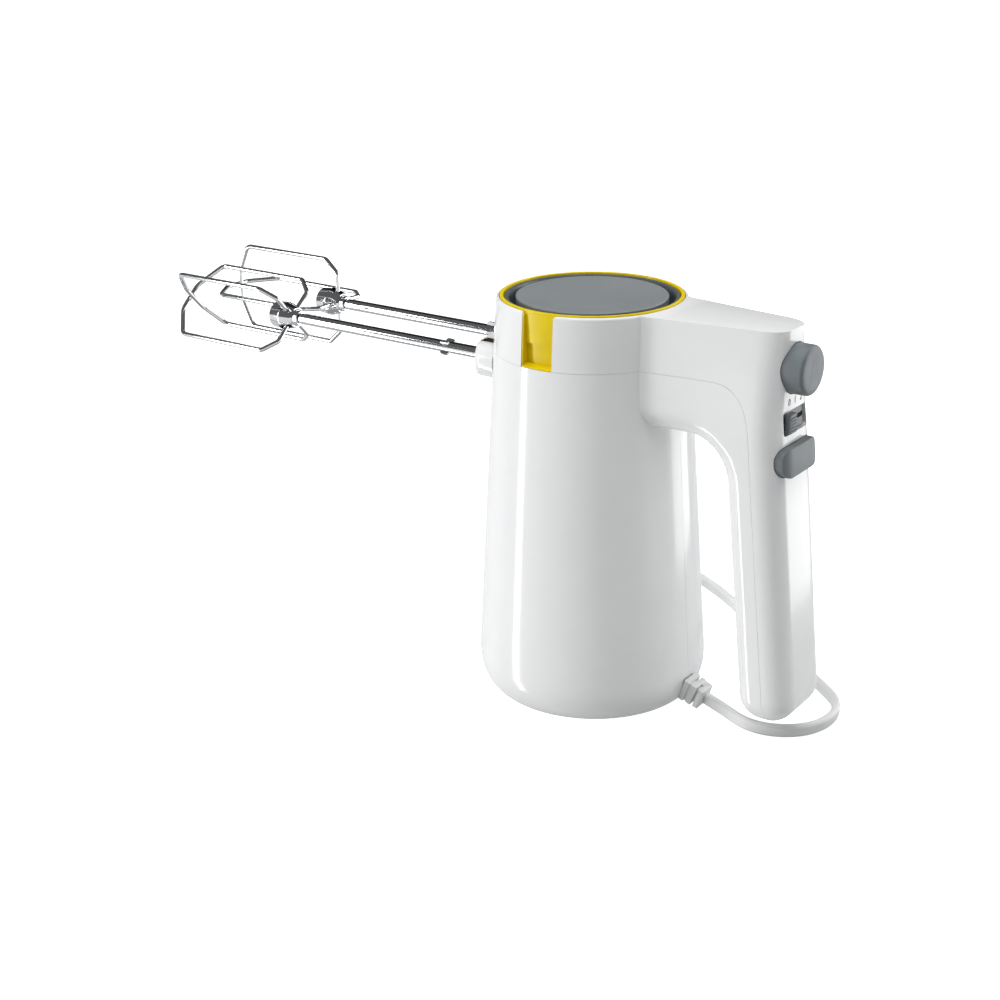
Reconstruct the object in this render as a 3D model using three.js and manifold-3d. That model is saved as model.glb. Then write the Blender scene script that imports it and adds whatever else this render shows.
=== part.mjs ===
// Hand mixer: a motor barrel that stands on its closed end, an arm, a handle beside the barrel
// and two wire beaters. Millimetres, +Z up. The origin is the centre of the barrel's base,
// +X points at the handle, the beaters stick out towards -X, and Y = 0 is the plane of symmetry.
import * as THREE from 'three';
import { mergeVertices } from 'three/addons/utils/BufferGeometryUtils.js';
import Module from 'manifold-3d';

const wasm = await Module();
wasm.setup();

// ---------------------------------------------------------------- driving dimensions
const ROUND_SIDES = 40;             // facets of the barrel and of the rings in its end
const GAP = 0.3;                    // clearance between neighbouring pieces
const WALL = 2.2;                   // housing wall
const BASE_RADIUS = 36.5;           // flat end that the mixer stands on
const WIDEST_RADIUS = 46;
const WIDEST_Z = 15.9;
const BARREL_TAPER = 0.063;         // loss of radius per unit of height
const RIM_Z = 162;                  // open end of the barrel
const SEAM_Z = 141.4;               // top housing above, lower housings below
const RECESS_Z = 150;               // floor of the recess that holds the end cap
const RECESS_RADIUS = 35.6;

const HANDLE_FOOT_X = 87.9;         // handle centre line, produced down to Z = 0
const HANDLE_LEAN = 0.094;          // it comes nearer to the barrel by this much per unit of height
const HANDLE_DEPTH = 23.2;          // along X
const HANDLE_WIDTH = 34;            // along Y
const HANDLE_BOTTOM_Z = 9.5;
const EDGE_ROUND = 10;              // rounding of the handle's long edges and of the arm's lower ones
const ARM_TOP_Z = 161.9;            // flat top of the arm
const ARM_ROOT_FLARE = 3;           // the arm is this much wider on each side at the barrel
const ARM_TOP_HALF_WIDTH = 17.4;    // of the flat top, at the barrel
const ARM_TOP_TAPER = 0.136;        // loss of that half width per unit of X
const ARM_UNDER_Z = 118.5;
const BACK_X = 87.2;                // upright back of the handle's top

const SPINDLE_Z = 135.3;
const SPINDLE_Y = 14.54;            // half the distance between the beaters
const SHAFT_RADIUS = 2.37;
const SPINDLE_RADIUS = 4.5;
const SPINDLE_BORE = SHAFT_RADIUS + 0.33;
const NOSE_RADIUS = 45.8;           // front of the socket nose, about the barrel's axis
const NOSE_HALF_HEIGHT = 6.6;
const NOSE_HALF_WIDTH = 25;

const TEETH = 22;                   // worm wheel, module 1, on a single-start worm
const WHEEL_RADIUS = TEETH / 2;
const WORM_PITCH = Math.PI;

const HUB_FRONT_X = -152;
const HUB_BACK_X = -136;
const HUB_RADIUS = 5.4;
const LOOP_RADIUS = 18.5;
const LOOP_TIP_X = -205;
const WIRE_RADIUS = 1;
const NEAR_ROLL = 42;               // degrees, near beater about its shaft, the far one is at 0

const EJECT_Z = 147.2;
const EJECT_RADIUS = 9.3;
const EJECT_FACE_X = 94.6;
const ROD_Z = 144.5;

const TURBO_Z = 114.3;
const TURBO_HEIGHT = 11.4;
const TURBO_HALF_WIDTH = 13;
const TURBO_PROUD = 3;
const WINDOW_Z = 127;
const WINDOW_HEIGHT = 10.4;
const WINDOW_Y = [-8.4, 12.4];
const KNOB_Y = [-6.4, -1.2];        // speed knob at 0

const CORD_WIDTH = 5.4;             // flat twin lead, its width stands upright
const CORD_THICKNESS = 3.2;
const CORD_EXIT = [53.8, 5.2];      // X and Z of the strain relief's end
const CORD_PITCH = 20;              // degrees, downwards
const COIL_X = -47;
const COIL_Y = 75;
const COIL_TURNS = [27, 31, 35];    // radii of the turns in one layer
const COIL_Z = [1.1, 12.5];
const COIL_MARGIN = 2.2;            // beyond the centre lines of the inmost and outmost turns
const PLUG_Y = 111;
const PIN_SPACING = 12.7;           // between the plug's two blades

// ---------------------------------------------------------------- finishes
const FINISHES = {
  whitePlastic: [0xf1f1ee, 0.3, 0], yellowPlastic: [0xe2d12b, 0.4, 0], greyPlastic: [0x83898b, 0.45, 0],
  darkPlastic: [0x3a3c3e, 0.55, 0], rubber: [0x4a4c4e, 0.85, 0], chrome: [0xd8dadc, 0.12, 1],
  steel: [0xa9adb1, 0.35, 1], laminations: [0x70747a, 0.5, 0.9], copper: [0xb87333, 0.35, 1],
  brass: [0xc9a24b, 0.35, 1], carbon: [0x222222, 0.7, 0], nylon: [0xe6dfc8, 0.5, 0],
  zinc: [0x9aa0a4, 0.5, 0.8], cord: [0xeeeeea, 0.5, 0],
};

const mixer = new THREE.Group();

function addPiece(name, shape, finish) {
  const geometry = shape.isBufferGeometry ? outward(welded(shape)) : geometryOf(shape);
  const [color, roughness, metalness] = FINISHES[finish];
  const mesh = new THREE.Mesh(geometry, new THREE.MeshStandardMaterial({ color, roughness, metalness }));
  mesh.name = name;
  mixer.add(mesh);
}

// ---------------------------------------------------------------- solids
function welded(geometry) {
  const bare = geometry.clone();
  bare.deleteAttribute('normal');
  bare.deleteAttribute('uv');
  const merged = mergeVertices(bare, 1e-4);
  const index = Array.from(merged.index.array);
  const kept = [];
  for (let i = 0; i < index.length; i += 3) {
    const [a, b, c] = index.slice(i, i + 3);
    if (a !== b && b !== c && c !== a) kept.push(a, b, c);
  }
  merged.setIndex(kept);
  return merged;
}

function outward(geometry) {
  const corner = [new THREE.Vector3(), new THREE.Vector3(), new THREE.Vector3()];
  const index = Array.from(geometry.index.array);
  let volume = 0;
  for (let i = 0; i < index.length; i += 3) {
    corner.forEach((point, k) => point.fromBufferAttribute(geometry.attributes.position, index[i + k]));
    volume += corner[0].dot(corner[1].clone().cross(corner[2]));
  }
  if (volume < 0) geometry.setIndex(index.reverse());
  return geometry;
}

function solid(geometry) {
  const closed = outward(welded(geometry));
  const mesh = new wasm.Mesh({
    numProp: 3,
    vertProperties: new Float32Array(closed.attributes.position.array),
    triVerts: new Uint32Array(closed.index.array),
  });
  return new wasm.Manifold(mesh);
}

function geometryOf(manifold) {
  const mesh = manifold.getMesh();
  const geometry = new THREE.BufferGeometry();
  geometry.setAttribute('position', new THREE.BufferAttribute(mesh.vertProperties, 3));
  geometry.setIndex(Array.from(mesh.triVerts));
  return geometry;
}

const joined = (...geometries) => geometries.map(solid).reduce((whole, next) => whole.add(next));
const cut = (body, ...tools) => tools.map(solid).reduce((left, tool) => left.subtract(tool), body);

function box(xs, ys, zs) {
  const geometry = new THREE.BoxGeometry(xs[1] - xs[0], ys[1] - ys[0], zs[1] - zs[0]);
  return geometry.translate((xs[0] + xs[1]) / 2, (ys[0] + ys[1]) / 2, (zs[0] + zs[1]) / 2);
}

// A turned solid about Z. Its profile is a list of [radius, height].
function turned(profile, sides = 16) {
  const points = profile.map(([radius, height]) => new THREE.Vector2(radius, height));
  return new THREE.LatheGeometry(points, sides).rotateX(Math.PI / 2);
}

function sleeve(inner, outer, bottom, top, sides = 16) {
  return turned([[inner, bottom], [outer, bottom], [outer, top], [inner, top], [inner, bottom]], sides);
}

const rod = (radius, bottom, top, sides = 16) => turned([[0, bottom], [radius, bottom], [radius, top], [0, top]], sides);

// Z of the geometry becomes X (or Y) of the mixer, and the axis is moved to where it belongs.
const alongX = (geometry, y, z) => geometry.rotateY(Math.PI / 2).translate(0, y, z);
const alongY = (geometry, x, z) => geometry.rotateX(-Math.PI / 2).translate(x, 0, z);

// An outline in the XZ plane, made as thick as width along Y and centred on the plane of symmetry.
function slab(outline, width, round = 0, roundSteps = 4) {
  const depth = width - 2 * round;
  const options = {
    depth, steps: 1, curveSegments: 6, bevelEnabled: round > 0,
    bevelThickness: round, bevelSize: round, bevelSegments: roundSteps,
  };
  return new THREE.ExtrudeGeometry(outline, options).translate(0, 0, -depth / 2).rotateX(Math.PI / 2);
}

function ellipseSection(halfWidth, halfHeight, sides) {
  const section = new THREE.Shape();
  for (let i = 0; i < sides; i += 1) {
    const turn = ((i + 0.5) / sides) * 2 * Math.PI;
    const point = [halfWidth * Math.cos(turn), halfHeight * Math.sin(turn)];
    if (i === 0) section.moveTo(...point);
    else section.lineTo(...point);
  }
  section.closePath();
  return section;
}

function tube(points, section, steps) {
  const path = new THREE.CatmullRomCurve3(points.map((point) => new THREE.Vector3(...point)));
  return new THREE.ExtrudeGeometry(section, { steps, extrudePath: path, bevelEnabled: false });
}

class Helix extends THREE.Curve {
  constructor(radius, pitch, turns) {
    super();
    Object.assign(this, { radius, pitch, turns });
  }

  getPoint(t) {
    const turn = 2 * Math.PI * this.turns * t;
    const height = this.pitch * this.turns * t;
    return new THREE.Vector3(this.radius * Math.cos(turn), this.radius * Math.sin(turn), height);
  }
}

function helixWire(radius, wireRadius, pitch, turns, stepsPerTurn, sides = 6) {
  const path = new Helix(radius, pitch, turns);
  const steps = Math.round(turns * stepsPerTurn);
  const section = ellipseSection(wireRadius, wireRadius, sides);
  return new THREE.ExtrudeGeometry(section, { steps, extrudePath: path, bevelEnabled: false });
}

// ---------------------------------------------------------------- housing
const barrelRadius = (z) => WIDEST_RADIUS - BARREL_TAPER * (z - WIDEST_Z);
const handleX = (z) => HANDLE_FOOT_X - HANDLE_LEAN * z;

function barrelSolid(inset) {
  const profile = [[0, inset]];
  const roundSteps = 4;
  for (let i = 0; i <= roundSteps; i += 1) {
    const turn = (i / roundSteps) * (Math.PI / 2);
    const radius = BASE_RADIUS + (WIDEST_RADIUS - BASE_RADIUS - inset) * Math.sin(turn);
    profile.push([radius, WIDEST_Z - (WIDEST_Z - inset) * Math.cos(turn)]);
  }
  profile.push([barrelRadius(RIM_Z) - inset, RIM_Z], [0, RIM_Z]);
  return solid(turned(profile, ROUND_SIDES));
}

// Side view of the arm and the handle, drawn EDGE_ROUND inside their surface. It runs on above the
// arm's flat top, where it is cut off later, and has points along it for the arm to narrow at.
function hookOutline() {
  const halfDepth = HANDLE_DEPTH / 2 - EDGE_ROUND;
  const top = ARM_TOP_Z + EDGE_ROUND;
  const under = ARM_UNDER_Z + EDGE_ROUND;
  const bottom = HANDLE_BOTTOM_Z + EDGE_ROUND;
  const back = BACK_X - EDGE_ROUND;
  const backBendZ = (HANDLE_FOOT_X + halfDepth - back) / HANDLE_LEAN;
  const innerRound = EDGE_ROUND + 8;
  const outline = new THREE.Shape();
  outline.moveTo(0, under);
  for (const x of [30, 38, handleX(under) - halfDepth - innerRound]) outline.lineTo(x, under);
  outline.quadraticCurveTo(handleX(under) - halfDepth, under,
    handleX(under - innerRound) - halfDepth, under - innerRound);
  outline.lineTo(handleX(bottom) - halfDepth, bottom);
  outline.lineTo(handleX(bottom) + halfDepth, bottom);
  for (const z of [backBendZ, 138, 144, 150, 156, 162, top]) outline.lineTo(back, z);
  for (const x of [58, 44, 30, 0]) outline.lineTo(x, top);
  outline.closePath();
  return outline;
}

// Half the hook's width: it flares towards the barrel and narrows towards the arm's top and back.
function halfWidth(x, z) {
  const clamp = (value) => Math.min(1, Math.max(0, value));
  const low = HANDLE_WIDTH / 2 + ARM_ROOT_FLARE * clamp((58 - x) / 26) ** 1.5;
  const high = ARM_TOP_HALF_WIDTH - ARM_TOP_TAPER * (x - 30);
  return low + (high - low) * clamp((z - 120) / 42) ** 1.6;
}

function hookSolid(inset) {
  const hook = slab(hookOutline(), HANDLE_WIDTH - 2 * inset, EDGE_ROUND - inset);
  const points = hook.attributes.position;
  for (let i = 0; i < points.count; i += 1) {
    points.setY(i, (points.getY(i) * halfWidth(points.getX(i), points.getZ(i))) / (HANDLE_WIDTH / 2));
  }
  return solid(hook).intersect(solid(box([-80, 140], [-60, 60], [-10, ARM_TOP_Z - inset])));
}

// A straight bar with the handle's section, grown by the given amount, for the pieces that wrap its back.
function handleBar(grow) {
  const [halfDepth, halfWidth, round] = [HANDLE_DEPTH / 2 + grow, HANDLE_WIDTH / 2 + grow, EDGE_ROUND + grow];
  const section = new THREE.Shape();
  section.absarc(halfDepth - round, halfWidth - round, round, 0, Math.PI / 2);
  section.absarc(round - halfDepth, halfWidth - round, round, Math.PI / 2, Math.PI);
  section.absarc(round - halfDepth, round - halfWidth, round, Math.PI, 1.5 * Math.PI);
  section.absarc(halfDepth - round, round - halfWidth, round, 1.5 * Math.PI, 2 * Math.PI);
  const bar = new THREE.ExtrudeGeometry(section, { depth: 60, bevelEnabled: false, curveSegments: 5 });
  const lean = new THREE.Matrix4().set(1, 0, -HANDLE_LEAN, 0, 0, 1, 0, 0, 0, 0, 1, 0, 0, 0, 0, 1);
  return solid(bar.translate(0, 0, 90).applyMatrix4(lean).translate(HANDLE_FOOT_X, 0, 0));
}

// The region of the top housing: above the seam, and behind it on the handle.
function topRegion(shift) {
  const seamX = (z) => handleX(z) + 1.5;
  const region = new THREE.Shape();
  region.moveTo(-60, SEAM_Z);
  region.lineTo(62, SEAM_Z);
  region.quadraticCurveTo(seamX(SEAM_Z) - 1, SEAM_Z, seamX(124), 124);
  region.lineTo(seamX(-10), -10);
  region.lineTo(130, -10);
  region.lineTo(130, 200);
  region.lineTo(-60, 200);
  region.closePath();
  return slab(region, 120).translate(shift, 0, shift);
}

// The turbo button's outline, pushed through the back of the handle.
function pillPrism(grow) {
  const half = TURBO_HALF_WIDTH + grow;
  const round = Math.min(4, TURBO_HEIGHT / 2) + grow;
  const height = TURBO_HEIGHT / 2 + grow;
  const pill = new THREE.Shape();
  pill.absarc(half - round, height - round, round, 0, Math.PI / 2);
  pill.absarc(round - half, height - round, round, Math.PI / 2, Math.PI);
  pill.absarc(round - half, round - height, round, Math.PI, 1.5 * Math.PI);
  pill.absarc(half - round, round - height, round, 1.5 * Math.PI, 2 * Math.PI);
  const prism = new THREE.ExtrudeGeometry(pill, { depth: 24, bevelEnabled: false, curveSegments: 3 });
  return prism.rotateX(Math.PI / 2).rotateZ(Math.PI / 2).translate(handleX(TURBO_Z) + 4, 0, TURBO_Z);
}

// The oblong nose round the two beater sockets, its front concentric with the barrel.
function noseSolid() {
  const outline = new THREE.Shape();
  const straight = NOSE_HALF_WIDTH - NOSE_HALF_HEIGHT;
  outline.absarc(straight, 0, NOSE_HALF_HEIGHT, -Math.PI / 2, Math.PI / 2);
  outline.absarc(-straight, 0, NOSE_HALF_HEIGHT, Math.PI / 2, 1.5 * Math.PI);
  const prism = new THREE.ExtrudeGeometry(outline, { depth: 60, bevelEnabled: false, curveSegments: 6 });
  prism.rotateX(Math.PI / 2).rotateZ(-Math.PI / 2).translate(0, 0, SPINDLE_Z - 0.6);
  return solid(prism).intersect(solid(rod(NOSE_RADIUS, 120, 150, ROUND_SIDES)));
}

const SCREWS = [[-24, 14], [24, 13], [76, 30]];   // X and Z of the screws that join the lower housings
const SCREW_BORE = 1.8;
const SCREW_HEAD_Y = 6.2;

function screwBosses() {
  const pillars = SCREWS.map(([x, z]) => alongY(rod(4.8, -45, 45, 10), x, z));
  return joined(...pillars).intersect(barrelSolid(0).add(hookSolid(0)));
}

function screwHoles() {
  return SCREWS.flatMap(([x, z]) => [
    alongY(rod(SCREW_BORE, -9, SCREW_HEAD_Y, 8), x, z),
    alongY(rod(3.3, SCREW_HEAD_Y - 0.1, 60, 12), x, z),
  ]);
}

function reliefFrame(geometry) {
  const tilt = THREE.MathUtils.degToRad(CORD_PITCH);
  return geometry.rotateY(tilt).translate(CORD_EXIT[0], 0, CORD_EXIT[1]);
}

function ventSlots() {
  const slots = [];
  for (const side of [-1, 1]) {
    for (let i = 0; i < 3; i += 1) {
      const y = side * (6 + 6 * i);
      slots.push(box([-60, -30], [y - 1.2, y + 1.2], [30, 58]));
    }
  }
  return slots;
}

function makeHousing() {
  const outer = barrelSolid(0).add(hookSolid(0)).add(noseSolid());
  const inner = barrelSolid(WALL).add(hookSolid(WALL));
  const shell = outer.subtract(inner);
  const recess = rod(RECESS_RADIUS, RECESS_Z, RIM_Z + 5, ROUND_SIDES);
  const endPlate = sleeve(6.5, barrelRadius(RECESS_Z), RECESS_Z - 2, RECESS_Z, ROUND_SIDES);
  const rimWall = sleeve(RECESS_RADIUS, barrelRadius(RIM_Z), RECESS_Z - 1, RIM_Z, ROUND_SIDES);
  const springWall = box([49.6, 51.6], [-HANDLE_WIDTH / 2 + 1, HANDLE_WIDTH / 2 - 1], [SEAM_Z + 0.2, ARM_TOP_Z - 1]);
  const rodSlot = box([45, 56], [-2.6, 2.6], [SEAM_Z - 2, ROD_Z + 2.6]);
  const tabSlot = box([-6.9, 6.9], [-50, -30], [SEAM_Z - 1, RIM_Z + 5]);
  const ejectHole = alongX(rod(EJECT_RADIUS + GAP, 70, 110, 20), 0, EJECT_Z);
  const windowHole = box([78, 110], WINDOW_Y, [WINDOW_Z - WINDOW_HEIGHT / 2, WINDOW_Z + WINDOW_HEIGHT / 2]);
  const topBody = shell.add(joined(endPlate, rimWall, springWall).intersect(outer));
  const top = cut(topBody.intersect(solid(topRegion(GAP / 2))), recess, rodSlot, tabSlot, ejectHole,
    windowHole, pillPrism(GAP));
  addPiece('top_housing', top, 'whitePlastic');

  const socketHoles = [-SPINDLE_Y, SPINDLE_Y].map((y) => alongX(rod(6.5, -60, -30, 14), y, SPINDLE_Z));
  const reliefHole = reliefFrame(box([-18, 4], [-3.3, 3.3], [-3.9, 3.9]));
  const footHole = rod(12 + GAP, -1, WALL + 1, 16);
  const lower = cut(shell.add(screwBosses()).subtract(solid(topRegion(-GAP / 2))),
    ...socketHoles, reliefHole, footHole, ...screwHoles(), ...ventSlots());
  const nearHalf = solid(box([-80, 140], [-70, -GAP / 2], [-10, 200]));
  const farHalf = solid(box([-80, 140], [GAP / 2, 70], [-10, 200]));
  addPiece('near_lower_housing', lower.intersect(nearHalf), 'whitePlastic');
  addPiece('far_lower_housing', lower.intersect(farHalf), 'whitePlastic');

  const flange = WALL + GAP;
  addPiece('base_foot', turned([[0, 0], [12, 0], [12, flange], [14.5, flange], [14.5, flange + 1.6],
    [0, flange + 1.6]]), 'rubber');
  SCREWS.forEach(([x, z], i) => {
    const screw = turned([[0, -8], [1.5, -8], [1.5, SCREW_HEAD_Y + GAP], [2.9, SCREW_HEAD_Y + GAP],
      [2.9, SCREW_HEAD_Y + 2.4], [0, SCREW_HEAD_Y + 2.4]], 8);
    addPiece(`housing_screw_${i + 1}`, alongY(screw, x, z), 'steel');
  });
}

// ---------------------------------------------------------------- end cap
const TRIM_OUTER = RECESS_RADIUS - GAP;       // yellow ring
const TRIM_INNER = 33.9;
const BEZEL_OUTER = TRIM_INNER - GAP;         // grey ring inside it
const BEZEL_INNER = 31.5;
const CAP_RADIUS = BEZEL_INNER - GAP;         // disc in the middle
const TAB_HALF_WIDTH = 6.6;                   // yellow tab that hangs down the front

function makeEndCap() {
  const floor = RECESS_Z + GAP;
  const tab = [-TAB_HALF_WIDTH, TAB_HALF_WIDTH];
  const ring = joined(sleeve(TRIM_INNER, TRIM_OUTER, floor, RIM_Z + 0.5, ROUND_SIDES),
    box(tab, [-TRIM_OUTER + 0.1, 0.7 - TRIM_INNER], [floor, RIM_Z]));
  const skirt = box(tab, [-TRIM_OUTER, -TRIM_INNER], [SEAM_Z + 0.4, floor + 1]);
  const tabRound = rod(TRIM_INNER, floor - 1, RIM_Z + 8, ROUND_SIDES);
  const skirtGap = box([-20, 20], [-BASE_RADIUS, -30], [SEAM_Z - 1, RECESS_Z]);
  const skirtShell = solid(skirt).subtract(solid(sleeve(10, TRIM_INNER - 0.1, SEAM_Z - 1, RECESS_Z + 1, ROUND_SIDES)));
  const trim = cut(ring, tabRound).add(skirtShell);
  const trimEnvelope = solid(rod(TRIM_OUTER, SEAM_Z - 1, RIM_Z + 8, ROUND_SIDES)).add(solid(skirtGap));
  addPiece('trim_ring', trim.intersect(trimEnvelope), 'yellowPlastic');
  addPiece('bezel_ring', sleeve(BEZEL_INNER, BEZEL_OUTER, floor, RIM_Z - 0.1, ROUND_SIDES), 'greyPlastic');
  const profile = [[0, floor], [CAP_RADIUS, floor], [CAP_RADIUS, floor + 2], [29.3, floor + 2],
    [29.3, RIM_Z - 0.4], [28.7, RIM_Z + 0.3], [0, RIM_Z + 0.3]];
  addPiece('end_cap', turned(profile, ROUND_SIDES), 'greyPlastic');
}

// ---------------------------------------------------------------- motor
const CORE_Z = [62, 90];
const CORE_RADIUS = 17;
const STATOR_HALF = 30;
const STATOR_BORE = 18;

function makeArmature() {
  const turns = 4;
  const thread = helixWire(3.3, 0.75, WORM_PITCH, turns, 12, 5);
  // The thread starts towards +X, and crosses the spindles' height there half way up the worm.
  thread.translate(0, 0, SPINDLE_Z - (turns / 2) * WORM_PITCH);
  const shaft = turned([[0, 22], [2.5, 22], [2.5, 34], [3, 34], [3, 122], [2.9, 122], [2.9, 144.2],
    [2.2, 144.2], [2.2, 147.4], [0, 147.4]], 16);
  addPiece('armature_shaft', joined(shaft, thread), 'steel');

  const bore = 3 + GAP;
  const slots = 12;
  const core = new THREE.Shape();
  for (let i = 0; i < slots; i += 1) {
    const middle = (i / slots) * 2 * Math.PI;
    for (const [radius, offset] of [[CORE_RADIUS, -0.2], [CORE_RADIUS, 0.2], [11, 0.2], [11, 0.32]]) {
      const point = [radius * Math.cos(middle + offset), radius * Math.sin(middle + offset)];
      if (core.curves.length === 0 && core.currentPoint.length() === 0) core.moveTo(...point);
      else core.lineTo(...point);
    }
  }
  core.closePath();
  core.holes.push(new THREE.Path().absarc(0, 0, bore, 0, 2 * Math.PI));
  const depth = CORE_Z[1] - CORE_Z[0];
  const stack = new THREE.ExtrudeGeometry(core, { depth, bevelEnabled: false, curveSegments: 8 });
  addPiece('armature_core', stack.translate(0, 0, CORE_Z[0]), 'laminations');

  const winding = (near, far) => turned([[bore, near], [10, near], [14.5, near + 0.25 * (far - near)],
    [14.5, far], [bore, far], [bore, near]], 14);
  addPiece('lower_winding', winding(52, CORE_Z[0] - GAP), 'copper');
  addPiece('upper_winding', winding(99, CORE_Z[1] + GAP), 'copper');
  addPiece('commutator', sleeve(bore, 8.5, 38, 50, 14), 'copper');

  const blades = [];
  const bladeCount = 9;
  for (let i = 0; i < bladeCount; i += 1) {
    const blade = box([8, 32], [-0.8, 0.8], [101, 110]);
    blades.push(blade.rotateZ((i / bladeCount) * 2 * Math.PI));
  }
  addPiece('cooling_fan', joined(sleeve(bore, 9, 101, 110, 12), sleeve(8, 32, 108.4, 110, 18), ...blades),
    'darkPlastic');
}

function makeStator() {
  const half = STATOR_HALF;
  const round = 10;
  const plate = new THREE.Shape();
  plate.absarc(half - round, half - round, round, 0, Math.PI / 2);
  plate.absarc(round - half, half - round, round, Math.PI / 2, Math.PI);
  plate.absarc(round - half, round - half, round, Math.PI, 1.5 * Math.PI);
  plate.absarc(half - round, round - half, round, 1.5 * Math.PI, 2 * Math.PI);
  const depth = CORE_Z[1] - CORE_Z[0];
  const stack = new THREE.ExtrudeGeometry(plate, { depth, bevelEnabled: false, curveSegments: 6 });
  const windows = [[1, 1], [-1, 1], [-1, -1], [1, -1]].map(([sideX, sideY]) => {
    const window = new THREE.BoxGeometry(7, 8.5, 2 * depth);
    return window.translate(sideX * 14.5, sideY * 21.25, CORE_Z[0] + depth / 2);
  });
  addPiece('stator_core', cut(solid(stack.translate(0, 0, CORE_Z[0])), rod(STATOR_BORE, 50, 110, 28), ...windows),
    'laminations');

  for (const [name, side] of [['near_field_coil', -1], ['far_field_coil', 1]]) {
    const ys = [side * 17.4, side * 25.1].sort((a, b) => a - b);
    const outside = box([-17.6, 17.6], ys, [55, 97]);
    addPiece(name, cut(solid(outside), box([-11.4, 11.4], [-30, 30], [61.6, 90.4])), 'copper');
  }
}

function makeMotorFrame() {
  const plateZ = [26, 30];
  const postX = 27;
  const plate = [box([-36, 36], [-8, 8], plateZ), box([-6, 6], [-24, 24], plateZ)];
  const posts = [-1, 1].map((side) => box([side * postX - 2, side * postX + 2], [-6, 6],
    [plateZ[1] - 1, CORE_Z[0] - GAP]));
  addPiece('motor_end_bracket', cut(joined(...plate, ...posts), rod(5.3, 20, 35, 12)), 'zinc');
  addPiece('lower_bearing', sleeve(2.8, 5, 25.5, 30.5, 12), 'brass');
  addPiece('upper_bearing', sleeve(2.5, 5.4, 144.6, 147.6, 12), 'brass');
  for (const [side, label] of [[-1, 'near'], [1, 'far']]) {
    const sorted = (a, b) => [side * a, side * b].sort((low, high) => low - high);
    const holder = joined(box([-3.5, 3.5], sorted(10, 23), [40.5, 47.5]),
      box([-3.5, 3.5], sorted(13, 21), [plateZ[1] + GAP, 41]));
    addPiece(`${label}_brush_holder`, cut(holder, box([-2.6, 2.6], sorted(9, 22), [41.9, 46.1])), 'brass');
    addPiece(`${label}_brush`, box([-2.3, 2.3], sorted(8.8, 19), [42.2, 45.8]), 'carbon');
  }
}

// ---------------------------------------------------------------- gearbox
const FRAME_X = [-20, 16];          // front and back of the gearbox bracket
const SPINDLE_X = [-43, 17.3];
const PIN_HEAD_X = 26;

function makeGearbox() {
  const [front, back] = FRAME_X;
  const walls = [[front, front + 3], [back - 3, back]].map((xs) => box(xs, [-24, 24], [114, 143.4]));
  const floor = box(FRAME_X, [-24, 24], [114, 117]);
  const spindleHoles = [-SPINDLE_Y, SPINDLE_Y].map((y) => alongX(rod(4.8, -30, 30, 14), y, SPINDLE_Z));
  addPiece('gearbox_bracket', cut(joined(floor, ...walls), ...spindleHoles, rod(3.6, 110, 120, 12)), 'zinc');

  // At rest a gap between two teeth faces the worm's thread, on both wheels.
  const toothTurn = Math.PI / (2 * TEETH);
  for (const [label, side] of [['near', -1], ['far', 1]]) {
    const wheel = new THREE.Shape();
    for (let i = 0; i < TEETH; i += 1) {
      const middle = (i / TEETH) * 2 * Math.PI + toothTurn;
      const corners = [[WHEEL_RADIUS - 1.1, -0.08], [WHEEL_RADIUS + 0.2, -0.04],
        [WHEEL_RADIUS + 0.2, 0.04], [WHEEL_RADIUS - 1.1, 0.08]];
      for (const [radius, offset] of corners) {
        const point = [radius * Math.cos(middle + offset), radius * Math.sin(middle + offset)];
        if (i === 0 && offset === -0.08) wheel.moveTo(...point);
        else wheel.lineTo(...point);
      }
    }
    wheel.closePath();
    wheel.holes.push(new THREE.Path().absarc(0, 0, SPINDLE_RADIUS + GAP, 0, 2 * Math.PI));
    const blank = new THREE.ExtrudeGeometry(wheel, { depth: 6, bevelEnabled: false, curveSegments: 8 });
    // The outline's X and Y become Y and Z of the mixer.
    blank.translate(0, 0, -3).rotateX(Math.PI / 2).rotateZ(Math.PI / 2);
    addPiece(`${label}_worm_wheel`, blank.translate(0, side * SPINDLE_Y, SPINDLE_Z), 'nylon');

    const spindle = sleeve(SPINDLE_BORE, SPINDLE_RADIUS, ...SPINDLE_X, 14);
    addPiece(`${label}_spindle`, alongX(spindle, side * SPINDLE_Y, SPINDLE_Z), 'steel');
    const bush = sleeve(SPINDLE_RADIUS + GAP, 6.2, -42.6, -35, 14);
    addPiece(`${label}_spindle_bush`, alongX(bush, side * SPINDLE_Y, SPINDLE_Z), 'brass');
    const pin = turned([[0, 2.3], [2.3, 2.3], [2.3, PIN_HEAD_X], [3.8, PIN_HEAD_X], [3.8, PIN_HEAD_X + 2],
      [0, PIN_HEAD_X + 2]], 10);
    addPiece(`${label}_ejector_pin`, alongX(pin, side * SPINDLE_Y, SPINDLE_Z), 'steel');
  }
}

// ---------------------------------------------------------------- beaters
function loopPoints(tipX) {
  const hubSide = [[-149, HUB_RADIUS + GAP], [-149.4, 10.5], [-151, 16], [-155.5, LOOP_RADIUS]];
  const tipSide = [[-175, LOOP_RADIUS], [-194, LOOP_RADIUS], [-199, 16.2], [tipX + 2.6, 8]];
  const half = [...hubSide, ...tipSide];
  return [...half, [tipX, 0], ...half.map(([x, radius]) => [x, -radius]).reverse()];
}

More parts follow.
